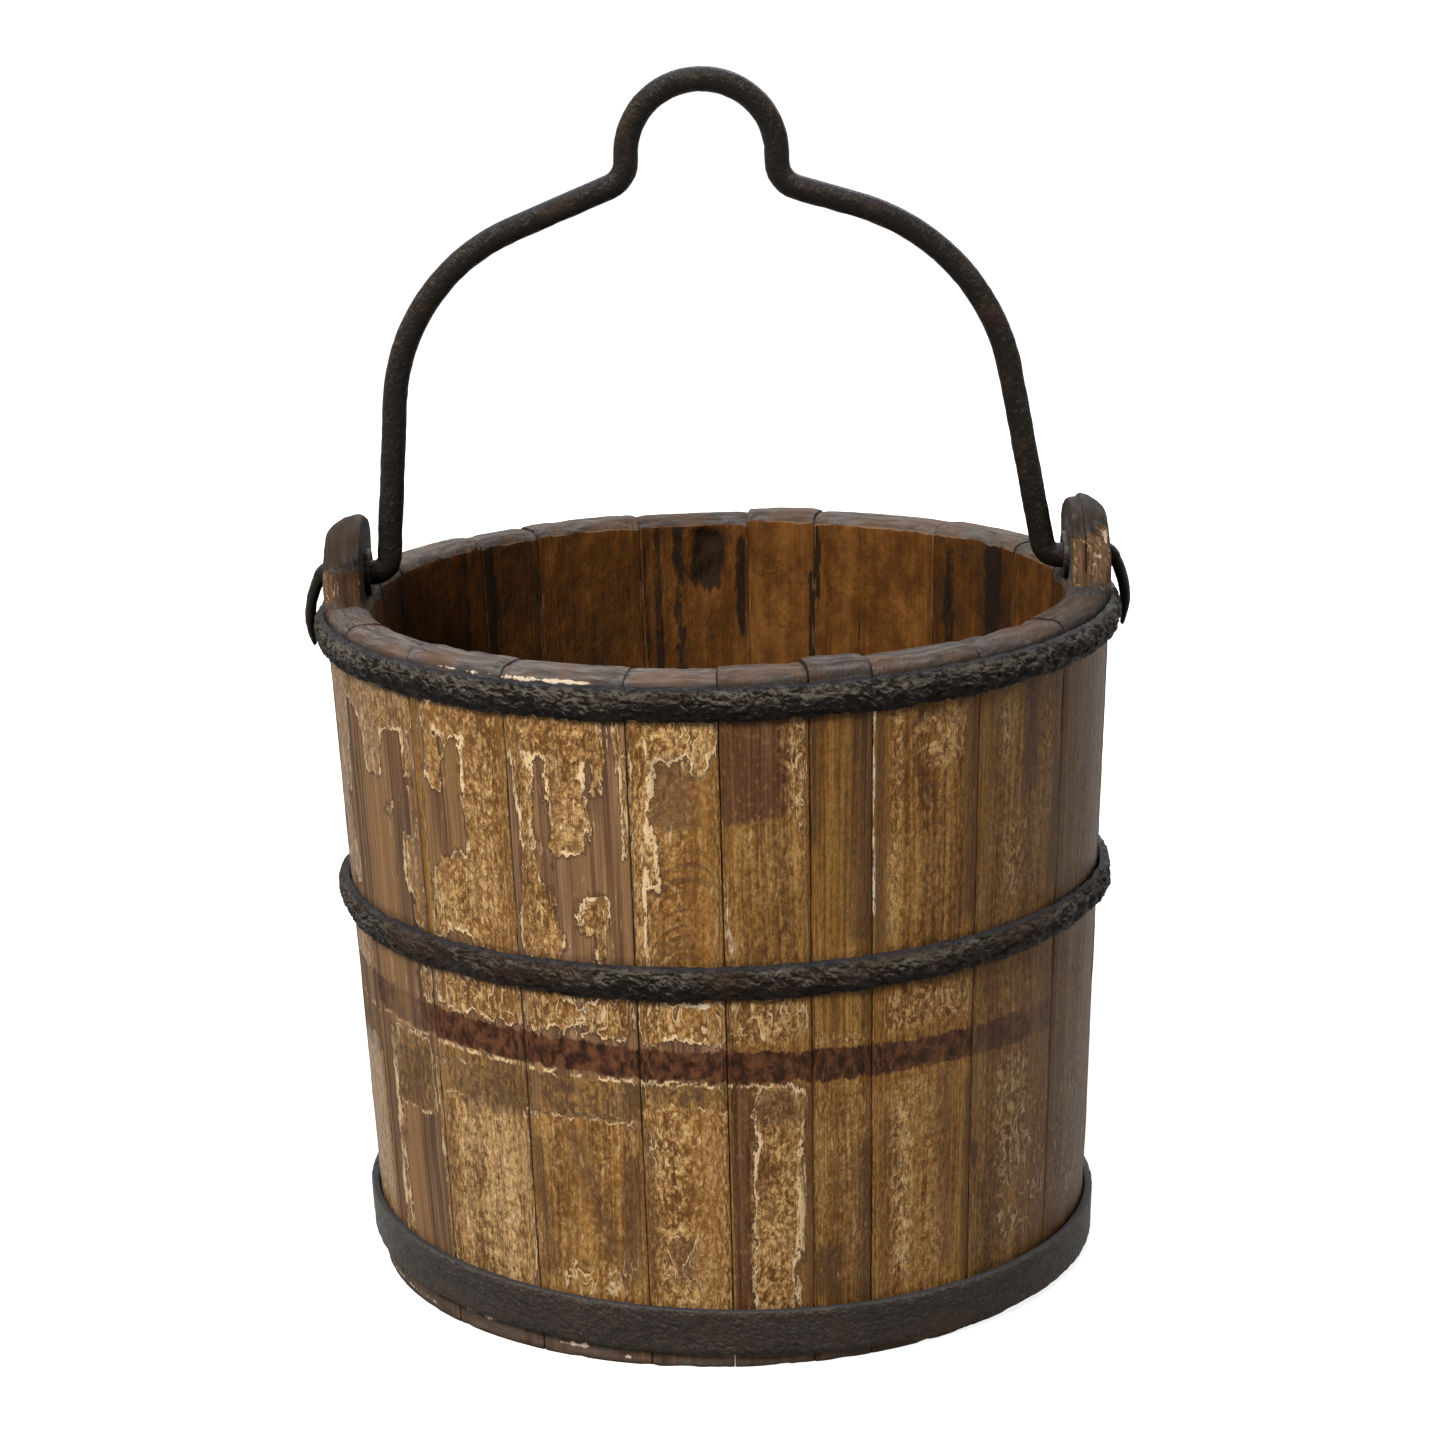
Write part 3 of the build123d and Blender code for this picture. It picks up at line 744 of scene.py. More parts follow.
def stave_finish(colours):
    """The staves' wood, from the varnish up to the dirt, with its relief."""
    finish = StaveFinish(colours)
    skin = finish.old_marks(finish.flaked_wood())
    skin = finish.weathering(finish.soaked_inside(finish.hoop_stain(skin)))
    sheen = finish.times(finish.cover, finish.less(finish.outer, finish.exposed))
    rough = finish.weigh(0.66, (finish.fibre, 0.2), (sheen, -0.3))
    film = finish.times(finish.weigh(0.0, (finish.lip, 0.5), (finish.cover, 0.5)), finish.outer)
    relief = finish.weigh(
        film, (finish.speck, finish.weigh(0.25, (finish.cover, 0.9))),
        (finish.lumpy, finish.times(finish.inner, 1.5)), (finish.fibre, 0.55),
    )
    return finish.coat(skin, rough, relief, 1.0 * MM, shine=0.04)


def board_finish(colours):
    """Dark water-stained bottom boards, with their grain along Y and dark joints."""
    finish = Finish("stained_board_wood", colours)
    place = finish.object_place()
    fibre = finish.noise(place, (700, 12, 700), 4.0, 0.62)
    figure = finish.noise(place, (90, 4, 90), 3.0, 0.5, 0.6)
    cloud = finish.noise(place, (22, 22, 22), 4.0, 0.6)
    wood = finish.weigh(0.0, (fibre, 0.3), (figure, 0.4), (cloud, 0.3))
    skin = finish.tones(wood, inside_dark=0.36, bare_dark=0.52, bare_wood=0.68)
    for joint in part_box("bottom_board_middle"):
        beside = finish.weigh(finish.gap(finish.part(place, "X"), joint.x), (fibre, 1.2 * MM))
        skin = finish.mix(finish.step(beside, 1.8 * MM, 1.0 * MM), skin, colours.iron_dark)
    return finish.coat(skin, finish.weigh(0.6, (fibre, 0.3)), wood, 0.6 * MM, shine=0.05)


def pin_finish(colours):
    """Plain split wood for what is hidden in the wall."""
    finish = Finish("split_pin_wood", colours)
    fibre = finish.noise(finish.object_place(), (600, 600, 600), 4.0, 0.6)
    skin = finish.tones(fibre, bare_wood=0.35, bare_pale=0.65)
    return finish.coat(skin, finish.weigh(0.65, (fibre, 0.2)), fibre, 0.3 * MM)


def iron_finish(colours, name, rust_share, depth, scaly):
    """Black forged iron, pitted and worn, with some brown rust, painted light on the slopes of its scale
    that face up, painted shade on its undersides and a painted reflection of the sky on its top side.
    """
    finish = Finish(name, colours)
    place = finish.painted("forged", "Vector")
    # Painted light: the scale is compared with itself a little higher up, so its slopes that face up are
    # painted lighter and those that face down darker
    raised = {0: place, 1: (0.0, 0.0, 0.9 * MM)}
    above = finish.node("VectorMath", raised, operation="ADD").outputs["Vector"]
    scale, scale_above = (finish.noise(spot, (420, 420, 420), 6.0, 0.72, 0.9) for spot in (place, above))
    grit = finish.noise(place, (1300, 1300, 1300), 3.0, 0.6)
    cloud = finish.noise(place, (45, 45, 45), 3.0, 0.6)
    rubbed_and_painted_light = finish.weigh(
        0.425 - 0.2 * scaly, (grit, 0.15), (scale, 0.4 * scaly),
        (finish.less(scale, scale_above), 0.9 * scaly), (finish.painted("ridge_and_painted_shading"), 0.08),
    )
    skin = finish.tones(rubbed_and_painted_light, iron_dark=0.44, iron=0.505, iron_pale=0.60)
    bloom = finish.step(finish.plus(cloud, rust_share - 0.5), 0.42, 0.62)
    skin = finish.mix(finish.times(bloom, finish.step(rubbed_and_painted_light, 0.3, 0.45)), skin, colours.rust, 0.6)
    # Painted reflection of the sky on the iron's top side
    skin = finish.mix(finish.painted("painted_sky_reflection"), skin, colours.iron_sky_reflection, 0.75)
    relief = finish.weigh(scale, (grit, 0.12))
    return finish.coat(skin, finish.weigh(0.3, (scale, 0.4)), relief, depth, shine=0.05)


def stave_blank(sizes, span, top, crown_outer, crown_inner):
    """A stave between two seams: its section, cut into rows and spun about the bucket's axis."""
    foot, wall = sizes.foot_radius, sizes.wall
    groove_low, groove_high, groove_depth = 16.85 * MM, 30.15 * MM, 5.0 * MM
    outline = (
        (foot, 0.0),
        (wall_radius(sizes, top), top),
        (wall_radius(sizes, top) - wall, top),
        (wall_radius(sizes, groove_high) - wall, groove_high),
        (wall_radius(sizes, groove_low) - wall + groove_depth, groove_high),
        (wall_radius(sizes, groove_low) - wall + groove_depth, groove_low),
        (wall_radius(sizes, groove_low) - wall, groove_low),
        (foot - wall, 0.0),
    )
    bm = bmesh.new()
    corners = [bm.verts.new((radius, 0.0, height)) for radius, height in outline]
    bm.faces.new(corners)
    for corner, size in ((corners[1], crown_outer), (corners[2], crown_inner)):
        round_corners(bm, [corner], size, 5)
    head = [edge for edge in bm.edges if min(v.co.z for v in edge.verts) > top - 0.01 * MM]
    bmesh.ops.subdivide_edges(bm, edges=head, cuts=2)
    rows = int(top / sizes.cell)
    for row in range(1, rows):
        everything = bm.verts[:] + bm.edges[:] + bm.faces[:]
        bmesh.ops.bisect_plane(
            bm, geom=everything, dist=0.001 * MM, plane_co=(0.0, 0.0, top * row / rows), plane_no=UPWARDS,
        )
    start, end = span
    bmesh.ops.rotate(bm, cent=ORIGIN, matrix=Matrix.Rotation(start, 3, "Z"), verts=bm.verts)
    columns = max(8, round((end - start) * sizes.rim_radius / (0.72 * sizes.cell)))
    bmesh.ops.spin(
        bm, geom=bm.verts[:] + bm.edges[:] + bm.faces[:], cent=ORIGIN, axis=UPWARDS, angle=end - start,
        steps=columns, use_merge=False,
    )
    return bm


def random_patches(name):
    """Tongues of varnish under the hoops and islands below them, for a stave whose patches are not listed.
    """
    dice = random.Random(name)
    patches = [
        ("varnish", 0.5, 258, 40, dice.uniform(2, 12), 0.0, 0.0),
        ("varnish", 0.5, 145, 40, dice.uniform(4, 9), 0.0, 0.0),
    ]
    for top, low in ((255, 172), (60, 30)):
        for _ in range(dice.randint(2, 4)):
            drop = dice.uniform(12, 0.45 * (top - low) + 20)
            shape = (dice.uniform(2.5, 7), drop, dice.uniform(-0.1, 0.4), dice.uniform(-2, 2))
            patches.append(("varnish", dice.uniform(0.05, 0.95), top - drop, *shape))
        for _ in range(dice.randint(1, 3)):
            height = dice.uniform(low, top)
            shape = (dice.uniform(2, 8), dice.uniform(4, 18), dice.uniform(-0.5, 0.3), dice.uniform(-2, 2))
            patches.append(("varnish", dice.random(), height, *shape))
    below = dice.choice(("varnish", "clear", "pale", "bare"))
    patches.append((below, 0.5, 66, 40, 40, 0.0, 0.0))
    patches.append(("dull", 0.5, 110, 40, dice.uniform(4, 11), 0.0, 0.0))
    return patches


def paint_patches(patches, even, share, width, height):
    """How far a point is inside each kind of patch, and how even the varnish is there."""
    reach = dict.fromkeys(PATCH_LAYERS, FAR_OUTSIDE)
    if even > 0.65:
        reach["varnish"] = -FAR_OUTSIDE
    for kind, place, up, *shape in patches:
        soft = 0.2 if kind in ("block", "dull") else 0.9
        inset = reach_inside((share - place) * width / MM, height / MM - up, *shape, soft=soft)
        if kind in reach:
            reach[kind] = max(reach[kind], inset)
        if kind in ("clear", "smooth", "pale"):
            reach["varnish"] = max(reach["varnish"], inset)
        if kind in ("varnish", "pale", "island"):
            even = min(even, smooth(2.0, -2.0, inset))
        if kind in ("clear", "smooth"):
            most = 1.0 if kind == "clear" else 0.5
            even += (most - even) * smooth(-1.5, 1.5, inset)
        if kind == "bare":
            reach["varnish"] = min(reach["varnish"], -inset)
    return reach, even


def paint_stave(bm, sizes, name, span, top):
    """Paint the wood's grain, varnish, age, wear and seams on a stave's mesh, with painted shade along the
    hoops' edges.
    """
    start, end = span
    width = (end - start) * sizes.rim_radius
    patches = PATCHES.get(name) or random_patches(name)
    even, dark, grey, _ = STAVE_AGE[name]
    offset = 1.7 * (1 + list(STAVE_AGE).index(name))
    layers = bm.verts.layers
    grain, rings, age = (layers.float_vector.new(key) for key in ("grain", "rings", "age"))
    painted = {key: layers.float.new(key) for key in (*PATCH_LAYERS, *WEAR_LAYERS)}
    hoop_edges = [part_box("hoop_top")[0].z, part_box("hoop_top")[1].z + 0.9 * MM]
    hoop_edges += [corner.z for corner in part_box("hoop_middle")]
    for vertex in bm.verts:
        radius = math.hypot(vertex.co.x, vertex.co.y)
        turn = math.atan2(vertex.co.y, vertex.co.x) - start
        share = (turn % (2.0 * math.pi)) / (end - start)
        if share > 1.5:
            share -= 2.0 * math.pi / (end - start)
        height = vertex.co.z
        depth = wall_radius(sizes, height) - radius
        inner = smooth(0.45, 0.75, depth / sizes.wall)
        across = share * width + 1.8 * MM * noise.noise(Vector((height * 13.0, offset, share)))
        vertex[grain] = (across + offset, depth, height + offset)
        vertex[rings] = vertex[grain]
        arched = 1.0
        if name in ARCHED_GRAIN:
            place, up = ARCHED_GRAIN[name]
            beside = across - place * width
            vertex[rings] = (0.35 * (height + 100.0 * beside * beside) + offset, depth, height + offset)
            arched = 1.3 * smooth(40.0, 20.0, abs(height / MM - up)) * smooth(17.0, 10.0, abs(beside) / MM)
        reach, film_even = paint_patches(patches, even, share, width, height)
        # Painted shade: a thin dark line along each hoop's edges, where the hoop meets the wood
        nearest = min(abs(height - edge) for edge in hoop_edges)
        painted_hoop_shade = math.exp(-((nearest / (1.2 * MM)) ** 2)) * (1.0 - inner)
        foot = smooth(19.0, 12.0, height / MM)
        darkness_with_hoop_shade = max(dark, 0.8 * painted_hoop_shade, foot * (0.42 + 0.5 * smooth(3.0, 9.0, height / MM)))
        vertex[age] = (film_even, darkness_with_hoop_shade, grey)
        crown = smooth(-10.0 + 3.0 * inner, -7.0 + 6.5 * inner, (height - top) / MM)
        filled = smooth(-1.0, 2.0, reach["filled"])
        worn = {
            "arch": arched,
            "crumbs": deepest(CRUMBS.get(name, ()), share, width, height) - 30.0 * inner,
            "inside": inner,
            "tone": INSIDE_TONE.get(name, PLAIN_TONE),
            "weather": max(crown, 0.48 * foot),
            "seam": 1.6 * min(share, 1.0 - share) * width / MM + 4.0 * filled,
            "wet": deepest(INSIDE_MARKS.get(name, ()), share, width, height),
        }
        for key, value in (*reach.items(), *worn.items()):
            vertex[painted[key]] = value


def wear_stave(bm, sizes, name, span, top):
    """Ease the seams, and wear the rim, the foot and the faces of a stave."""
    start, end = span
    middle = (start + end) / 2.0
    half = (end - start) / 2.0
    lift = STAVE_AGE[name][3] * MM
    seed = Vector((3.1, 7.7, 1.3)) * (1 + list(STAVE_AGE).index(name))
    for vertex in bm.verts:
        radius = math.hypot(vertex.co.x, vertex.co.y)
        turn = turn_past(vertex.co, middle) / half
        turn = turn + 0.55 * math.sin(math.pi * turn) / math.pi
        height = vertex.co.z
        depth = (wall_radius(sizes, height) - radius) / sizes.wall
        outer = smooth(0.6, 0.2, depth)
        edge = (1.0 - abs(turn)) * half * sizes.rim_radius
        seam_noise = noise.noise(Vector((height * 28.0, 9.0 * math.copysign(1.0, turn), 0.0)) + seed)
        gap = sizes.seam_gap * (0.55 + 0.6 * seam_noise)
        radius -= outer * gap * math.exp(-edge / (0.6 * MM))
        turn *= 1.0 - 0.12 * MM * outer / (half * sizes.rim_radius)
        place = Vector((turn * half * sizes.rim_radius, radius, height))
        wave = noise.noise(place * 45.0 + seed) + 0.5 * noise.noise(place * 140.0 + seed)
        radius += (0.22 * wave - 0.3) * MM * (outer + smooth(0.4, 0.8, depth))
        crown = smooth(-11.0, 0.0, (height - top) / MM)
        wear = noise.noise(place * 90.0 + seed) + 0.6 * noise.noise(place * 260.0 + seed)
        notch = math.exp(-((edge / (3.0 * MM)) ** 2))
        height += crown * (lift - sizes.rim_wear * (max(0.0, wear) + 0.6 * notch))
        radius += crown * 0.5 * MM * wear
        foot = smooth(6.0, 0.0, height / MM)
        height += foot * max(0.0, 0.9 * wear) * MM
        angle = middle + turn * half
        vertex.co = (radius * math.cos(angle), radius * math.sin(angle), height)


def sink_knot(bm, sizes, span):
    """Sink the dead knot into the inner face of its stave."""
    start, end = span
    middle = start + KNOT_ACROSS * (end - start)
    for vertex in bm.verts:
        radius = math.hypot(vertex.co.x, vertex.co.y)
        if radius > wall_radius(sizes, vertex.co.z) - 0.7 * sizes.wall:
            continue
        across = turn_past(vertex.co, middle) * radius
        inset = reach_inside(across / MM, (vertex.co.z - KNOT_HEIGHT) / MM, 6.0, 15.0)
        sink = 4.5 * MM * smooth(-1.5, 3.5, inset) * (0.7 + 0.6 * noise.noise(vertex.co * 180.0))
        vertex.co *= Vector((1.0 + sink / radius, 1.0 + sink / radius, 1.0))


def arch_ear(bm, sizes, side):
    """Round the ear's top to an arch, and flatten it on both faces above the rim."""
    spring, shoulder = sizes.ear_top - 22.0 * MM, 262.0 * MM
    half_width, flat = 29.25 * MM, 157.995 * MM
    worn_from, inner_half = 146.0 * MM, 150.0 * MM
    flat_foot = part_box("hoop_top")[1].z + 0.15 * MM
    seat = abs(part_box("ear_washer_right")[1].x)
    top = sizes.ear_top - (2.4 * MM if side < 0 else 0.6 * MM)
    for vertex in bm.verts:
        if vertex.co.z <= shoulder:
            continue
        reach = min(1.0, abs(vertex.co.y) / half_width)
        crest = spring + (top - spring) * math.sqrt(1.0 - reach * reach)
        rise = (vertex.co.z - shoulder) / (sizes.ear_top - shoulder)
        vertex.co.z = shoulder + rise * (crest - shoulder)
        out = side * vertex.co.x
        if vertex.co.z > flat_foot:
            out = min(out, flat)
        worn_off = smooth(worn_from, flat, out) * smooth(top - 15.0 * MM, top, vertex.co.z)
        vertex.co.z -= 1.5 * MM * worn_off
        pared = smooth(sizes.rim_height - 5.0 * MM, sizes.rim_height - 1.0 * MM, vertex.co.z)
        if out < inner_half:
            out += pared * max(0.0, seat - out)
        vertex.co.x = side * out


def paint_ear(bm, sizes, side):
    """Weather an ear's dome, and leave torn wood on its narrow sides just above the rim."""
    layers = bm.verts.layers
    keys = ("weather", "varnish", "crumbs", "scribble", "inside", "seam")
    weather, varnish, crumbs, scribble, inside, seam = (layers.float[key] for key in keys)
    age = layers.float_vector["age"]
    torn_top = 13.0 if side < 0 else 22.0
    for vertex in bm.verts:
        height = (vertex.co.z - sizes.rim_height) / MM
        ragged = height + 8.0 * noise.noise(vertex.co * 170.0)
        dome = smooth(torn_top - 2.5, torn_top + 2.5, ragged)
        narrow = smooth(17.0, 21.0, abs(vertex.co.y) / MM)
        torn = narrow * (1.0 - dome) * smooth(-1.0, 1.0, height + 4.0 * noise.noise(vertex.co * 210.0))
        if height > -8.0:
            vertex[weather] = 1.0 - torn
            chip = min(0.0, 10.0 * noise.noise(vertex.co * 150.0) - 1.5)
            vertex[varnish] = FAR_OUTSIDE
            vertex[crumbs] = torn * chip + FAR_OUTSIDE * (1.0 - torn)
            vertex[scribble] = 8.0 * torn - 6.0
            vertex[inside] *= 1.0 - max(torn, dome)
            vertex[seam] += CLEAR_OF_SEAMS * smooth(-1.0, 1.0, height)
            even, _, grey = vertex[age]
            vertex[age] = (even, 0.9 * dome + 0.3 * (1.0 - dome), grey * (1.0 - torn) + 0.35 * torn)


def split_ear(bm, sizes):
    """Open a crack down the right ear, and lower the slab on its inner side."""
    crack, half_crack = 147.8 * MM, 0.9 * MM
    foot = sizes.rim_height + 1.0 * MM
    for offset in (-half_crack, 0.0, half_crack):
        faces = [face for face in bm.faces if min(vertex.co.z for vertex in face.verts) > foot]
        edges = {edge for face in faces for edge in face.edges}
        verts = {vertex for edge in edges for vertex in edge.verts}
        bmesh.ops.bisect_plane(
            bm, geom=[*faces, *edges, *verts], dist=0.01 * MM, plane_co=(crack + offset, 0.0, 0.0),
            plane_no=(1.0, 0.0, 0.0),
        )
    seam, crumbs = (bm.verts.layers.float[key] for key in ("seam", "crumbs"))
    for vertex in bm.verts:
        height = vertex.co.z - foot
        if height <= 0.0:
            continue
        opened = max(0.0, 1.0 - abs(vertex.co.x - crack) / half_crack) * smooth(0.0, 6.0 * MM, height)
        lowered = smooth(crack, crack - half_crack, vertex.co.x)
        vertex.co.y *= 1.0 - 0.04 * opened
        vertex.co.z = foot + height * (1.0 - 0.03 * opened - 0.065 * lowered)
        vertex[seam] += opened * (FAR_OUTSIDE - vertex[seam])
        vertex[crumbs] += FAR_OUTSIDE * opened


def bore_ear(bm, sizes):
    """Open the bail's hole through an ear."""
    clear = sizes.hole_radius + 0.5 * sizes.cell
    doomed = []
    for face in bm.faces:
        centre = face.calc_center_median()
        if math.hypot(centre.y, centre.z - pivot.z) < clear:
            doomed.append(face)
    bmesh.ops.delete(bm, geom=doomed, context="FACES")
    rim = [edge for edge in bm.edges if edge.is_boundary]
    for vertex in {v for edge in rim for v in edge.verts}:
        away = Vector((0.0, vertex.co.y, vertex.co.z - pivot.z)).normalized() * sizes.hole_radius
        vertex.co = (vertex.co.x, away.y, pivot.z + away.z)
    bmesh.ops.bridge_loops(bm, edges=rim)


def hammer(bm, depth, coarse=1.0, hoop=False):
    """Dent iron as a smith's hammer and rust leave it, and mark its ridges with painted shade below and
    painted light above, and its top side for a painted reflection of the sky.
    """
    bm.normal_update()
    ridge_and_painted_shading, painted_sky_reflection = bm.verts.layers.float.new("ridge_and_painted_shading"), bm.verts.layers.float.new("painted_sky_reflection")
    forged = bm.verts.layers.float_vector.new("forged")
    for vertex in bm.verts:
        place = vertex.co.copy()
        if hoop:
            around = math.atan2(vertex.co.y, vertex.co.x) * HOOP_RADIUS
            place = Vector((0.55 * around, vertex.co.xy.length, vertex.co.z + 0.12 * around))
        vertex[forged] = place
        bent = place * 330.0 + Vector((1.0, 1.0, 1.0)) * noise.noise(place * 110.0)
        crest = 1.0 - min(1.0, abs(noise.noise(bent)) / 0.4)
        swell = noise.noise(place * 75.0)
        skyward = smooth(0.5, 0.9, vertex.normal.z)
        high = coarse * (1.1 * crest + 0.6 * swell - 0.5) * (1.0 - 0.8 * skyward)
        # Painted shade on the side that faces down and painted light on the side that faces up, both added
        # to the mark of the ridges
        painted_underside_shade = (0.6 + 1.2 * coarse) * smooth(0.2, -0.6, vertex.normal.z)
        vertex[ridge_and_painted_shading] = high - painted_underside_shade + 0.5 * smooth(0.0, 0.5, vertex.normal.z)
        vertex[painted_sky_reflection] = skyward
        vertex.co += vertex.normal * depth * high


def round_hoop(sizes, name):
    """A half-round hoop, spun about the axis."""
    low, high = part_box(name)
    height = (low.z + high.z) / 2.0
    half = (high.z - low.z) / 2.0
    bm = bmesh.new()
    bmesh.ops.create_circle(bm, cap_ends=False, radius=1.0, segments=44)
    bmesh.ops.bisect_plane(
        bm, geom=bm.verts[:] + bm.edges[:], dist=1e-6, plane_co=ORIGIN, plane_no=(-1.0, 0.0, 0.0),
        clear_outer=True,
    )
    ends = [vertex for vertex in bm.verts if len(vertex.link_edges) == 1]
    back = bm.edges.new(ends)
    bmesh.ops.subdivide_edges(bm, edges=[back], cuts=3)
    bmesh.ops.rotate(bm, cent=ORIGIN, matrix=Matrix.Rotation(math.pi / 2.0, 3, "X"), verts=bm.verts)
    bmesh.ops.scale(bm, vec=(sizes.hoop_proud, 1.0, half), verts=bm.verts)
    lean = (sizes.rim_radius - sizes.foot_radius) / sizes.rim_height
    for vertex in bm.verts:
        vertex.co.x += wall_radius(sizes, height) + sizes.hoop_gap + lean * vertex.co.z
        vertex.co.z += height
    spin_round(bm, ORIGIN, UPWARDS, 840)
    return bm


def seat_hoop(bm, sizes):
    """Keep a hoop's dents out of the wood."""
    for vertex in bm.verts:
        radius = math.hypot(vertex.co.x, vertex.co.y)
        least = wall_radius(sizes, vertex.co.z) + 0.5 * sizes.hoop_gap
        if radius < least:
            vertex.co.x *= least / radius
            vertex.co.y *= least / radius


def lap_hoop(bm, middle, half, proud):
    """Weld the hoop's ends in a scarf lap, with twisted ridges."""
    for vertex in bm.verts:
        turn = turn_past(vertex.co, middle)
        if abs(turn) > half:
            continue
        swell = smooth(half, 0.6 * half, abs(turn))
        twist = 0.5 + 0.5 * math.sin(8.0 * turn / half + 420.0 * vertex.co.z)
        swell *= proud * (0.45 + 0.55 * twist)
        radius = math.hypot(vertex.co.x, vertex.co.y)
        vertex.co.x *= 1.0 + swell / radius
        vertex.co.y *= 1.0 + swell / radius


def band_hoop(sizes):
    """The flat bottom hoop, spun about the axis and driven on a little askew."""
    low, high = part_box("hoop_bottom")
    fall = math.tan(sizes.band_slope)
    tall = (high.z - low.z) - 2.0 * fall * (sizes.foot_radius + sizes.band_thickness)
    middle = (high.z + low.z) / 2.0
    inner = sizes.hoop_gap
    outer = sizes.hoop_gap + sizes.band_thickness
    outline = ((inner, -tall / 2), (outer, -tall / 2), (outer, tall / 2), (inner, tall / 2))
    bm = rounded_section(outline, 0.8 * MM, 2)
    uprights = [edge for edge in bm.edges if edge.calc_length() > tall / 2]
    bmesh.ops.subdivide_edges(bm, edges=uprights, cuts=8)
    bmesh.ops.translate(bm, vec=(sizes.foot_radius, 0.0, 0.0), verts=bm.verts)
    spin_round(bm, ORIGIN, UPWARDS, 480)
    for vertex in bm.verts:
        radius = math.hypot(vertex.co.x, vertex.co.y)
        height = middle + vertex.co.z - fall * vertex.co.x
        grown = radius - sizes.foot_radius + wall_radius(sizes, height)
        vertex.co = (vertex.co.x * grown / radius, vertex.co.y * grown / radius, height)
    return bm


# The bail's line from foot to foot, as corners with bend radii, in mm from the pivot line
BAIL_CORNERS = (
    (-158.6, 0.0, 0.0),
    (-133.8, 0.0, 6.5),
    (-123.8, 119.5, 80.0),
    (-32.0, 156.4, 11.0),
    (-32.0, 195.2, 29.5),
    (28.0, 195.2, 29.5),
    (28.0, 154.1, 11.0),
    (110.8, 128.5, 88.0),
    (133.8, 0.0, 6.5),
    (158.6, 0.0, 0.0),
)


def draw_rod(bm, ring, run, step):
    """Draw the rod's end ring straight on, and give back the new ring."""
    count = max(1, round(run.length / step))
    for _ in range(count):
        made = bmesh.ops.extrude_edge_only(bm, edges=ring)["geom"]
        ring = [item for item in made if isinstance(item, bmesh.types.BMEdge)]
        ring = [edge for edge in ring if all(v in made for v in edge.verts)]
        fresh = [item for item in made if isinstance(item, bmesh.types.BMVert)]
        bmesh.ops.translate(bm, vec=run / count, verts=fresh)
    return ring


def bend_rod(bm, ring, centre, angle, step_count):
    """Bend the rod's end ring round a centre, and give back the new ring."""
    verts = list({vertex for edge in ring for vertex in edge.verts})
    made = bmesh.ops.spin(
        bm, geom=verts + ring, cent=centre, axis=(0.0, 1.0, 0.0), angle=angle, steps=step_count,
        use_merge=False,
    )["geom_last"]
    return [item for item in made if isinstance(item, bmesh.types.BMEdge)]


# The leaf at each end of the rod: bend radius, turn in degrees, steps, half thickness, half width
LEAF_BENDS = (
    (4.5, 62.0, 6, 2.6, 6.0),
    (36.0, 28.0, 7, 2.0, 6.0),
    (36.0, 16.0, 5, 0.8, 2.6),
)


def bail_tail(bm, ring, sizes, side):
    """Turn the rod's end down outside the ear and draw it out to a flat leaf."""
    place = Vector((side * abs(BAIL_CORNERS[0][0]) * MM, 0.0, pivot.z))
    turned = 0.0
    thick = wide = sizes.rod_radius
    for bend, degrees, steps, end_thick, end_wide in LEAF_BENDS:
        first_thick, first_wide = thick, wide
        for number in range(1, steps + 1):
            inwards = Vector((-side * math.sin(turned), 0.0, -math.cos(turned)))
            centre = place + inwards * bend * MM
            turn = math.radians(degrees) / steps
            ring = bend_rod(bm, ring, centre, side * turn, 1)
            turned += turn
            place = centre + Vector((side * math.sin(turned), 0.0, math.cos(turned))) * bend * MM
            share = number / steps
            new_thick = first_thick + (end_thick * MM - first_thick) * share
            new_wide = first_wide + (end_wide * MM - first_wide) * share
            space = Matrix.Rotation(side * turned, 4, "Y").inverted() @ Matrix.Translation(-place)
            verts = list({vertex for edge in ring for vertex in edge.verts})
            bmesh.ops.scale(bm, vec=(1.0, new_wide / wide, new_thick / thick), space=space, verts=verts)
            thick, wide = new_thick, new_wide
    bmesh.ops.contextual_create(bm, geom=ring)


def bail_rod(sizes):
    """The bail: one rod drawn and bent along its line, with a leaf at each end."""
    corners = [Vector((x * MM, 0.0, pivot.z + z * MM)) for x, z, _ in BAIL_CORNERS]
    bends = [bend * MM for _, _, bend in BAIL_CORNERS]
    bm = bmesh.new()
    facing = Matrix.Translation(corners[0]) @ Matrix.Rotation(math.pi / 2.0, 4, "Y")
    bmesh.ops.create_circle(bm, cap_ends=False, radius=sizes.rod_radius, segments=18, matrix=facing)
    first = bm.edges[:]
    ring = first
    place = corners[0]
    for before, corner, after, bend in zip(corners, corners[1:], corners[2:], bends[1:]):
        heading = (corner - before).normalized()
        leaving = (after - corner).normalized()
        turn = math.atan2(heading.cross(leaving).y, heading.dot(leaving))
        setback = bend * math.tan(abs(turn) / 2.0)
        touch = corner - heading * setback
        ring = draw_rod(bm, ring, touch - place, 3.0 * MM)
        across = Vector((0.0, math.copysign(1.0, turn), 0.0)).cross(heading)
        ring = bend_rod(bm, ring, touch + across * bend, turn, max(6, round(bend * abs(turn) / (3.0 * MM))))
        place = corner + leaving * setback
    ring = draw_rod(bm, ring, corners[-1] - place, 3.0 * MM)
    bail_tail(bm, first, sizes, -1)
    bail_tail(bm, ring, sizes, 1)
    bmesh.ops.recalc_face_normals(bm, faces=bm.faces)
    return bm


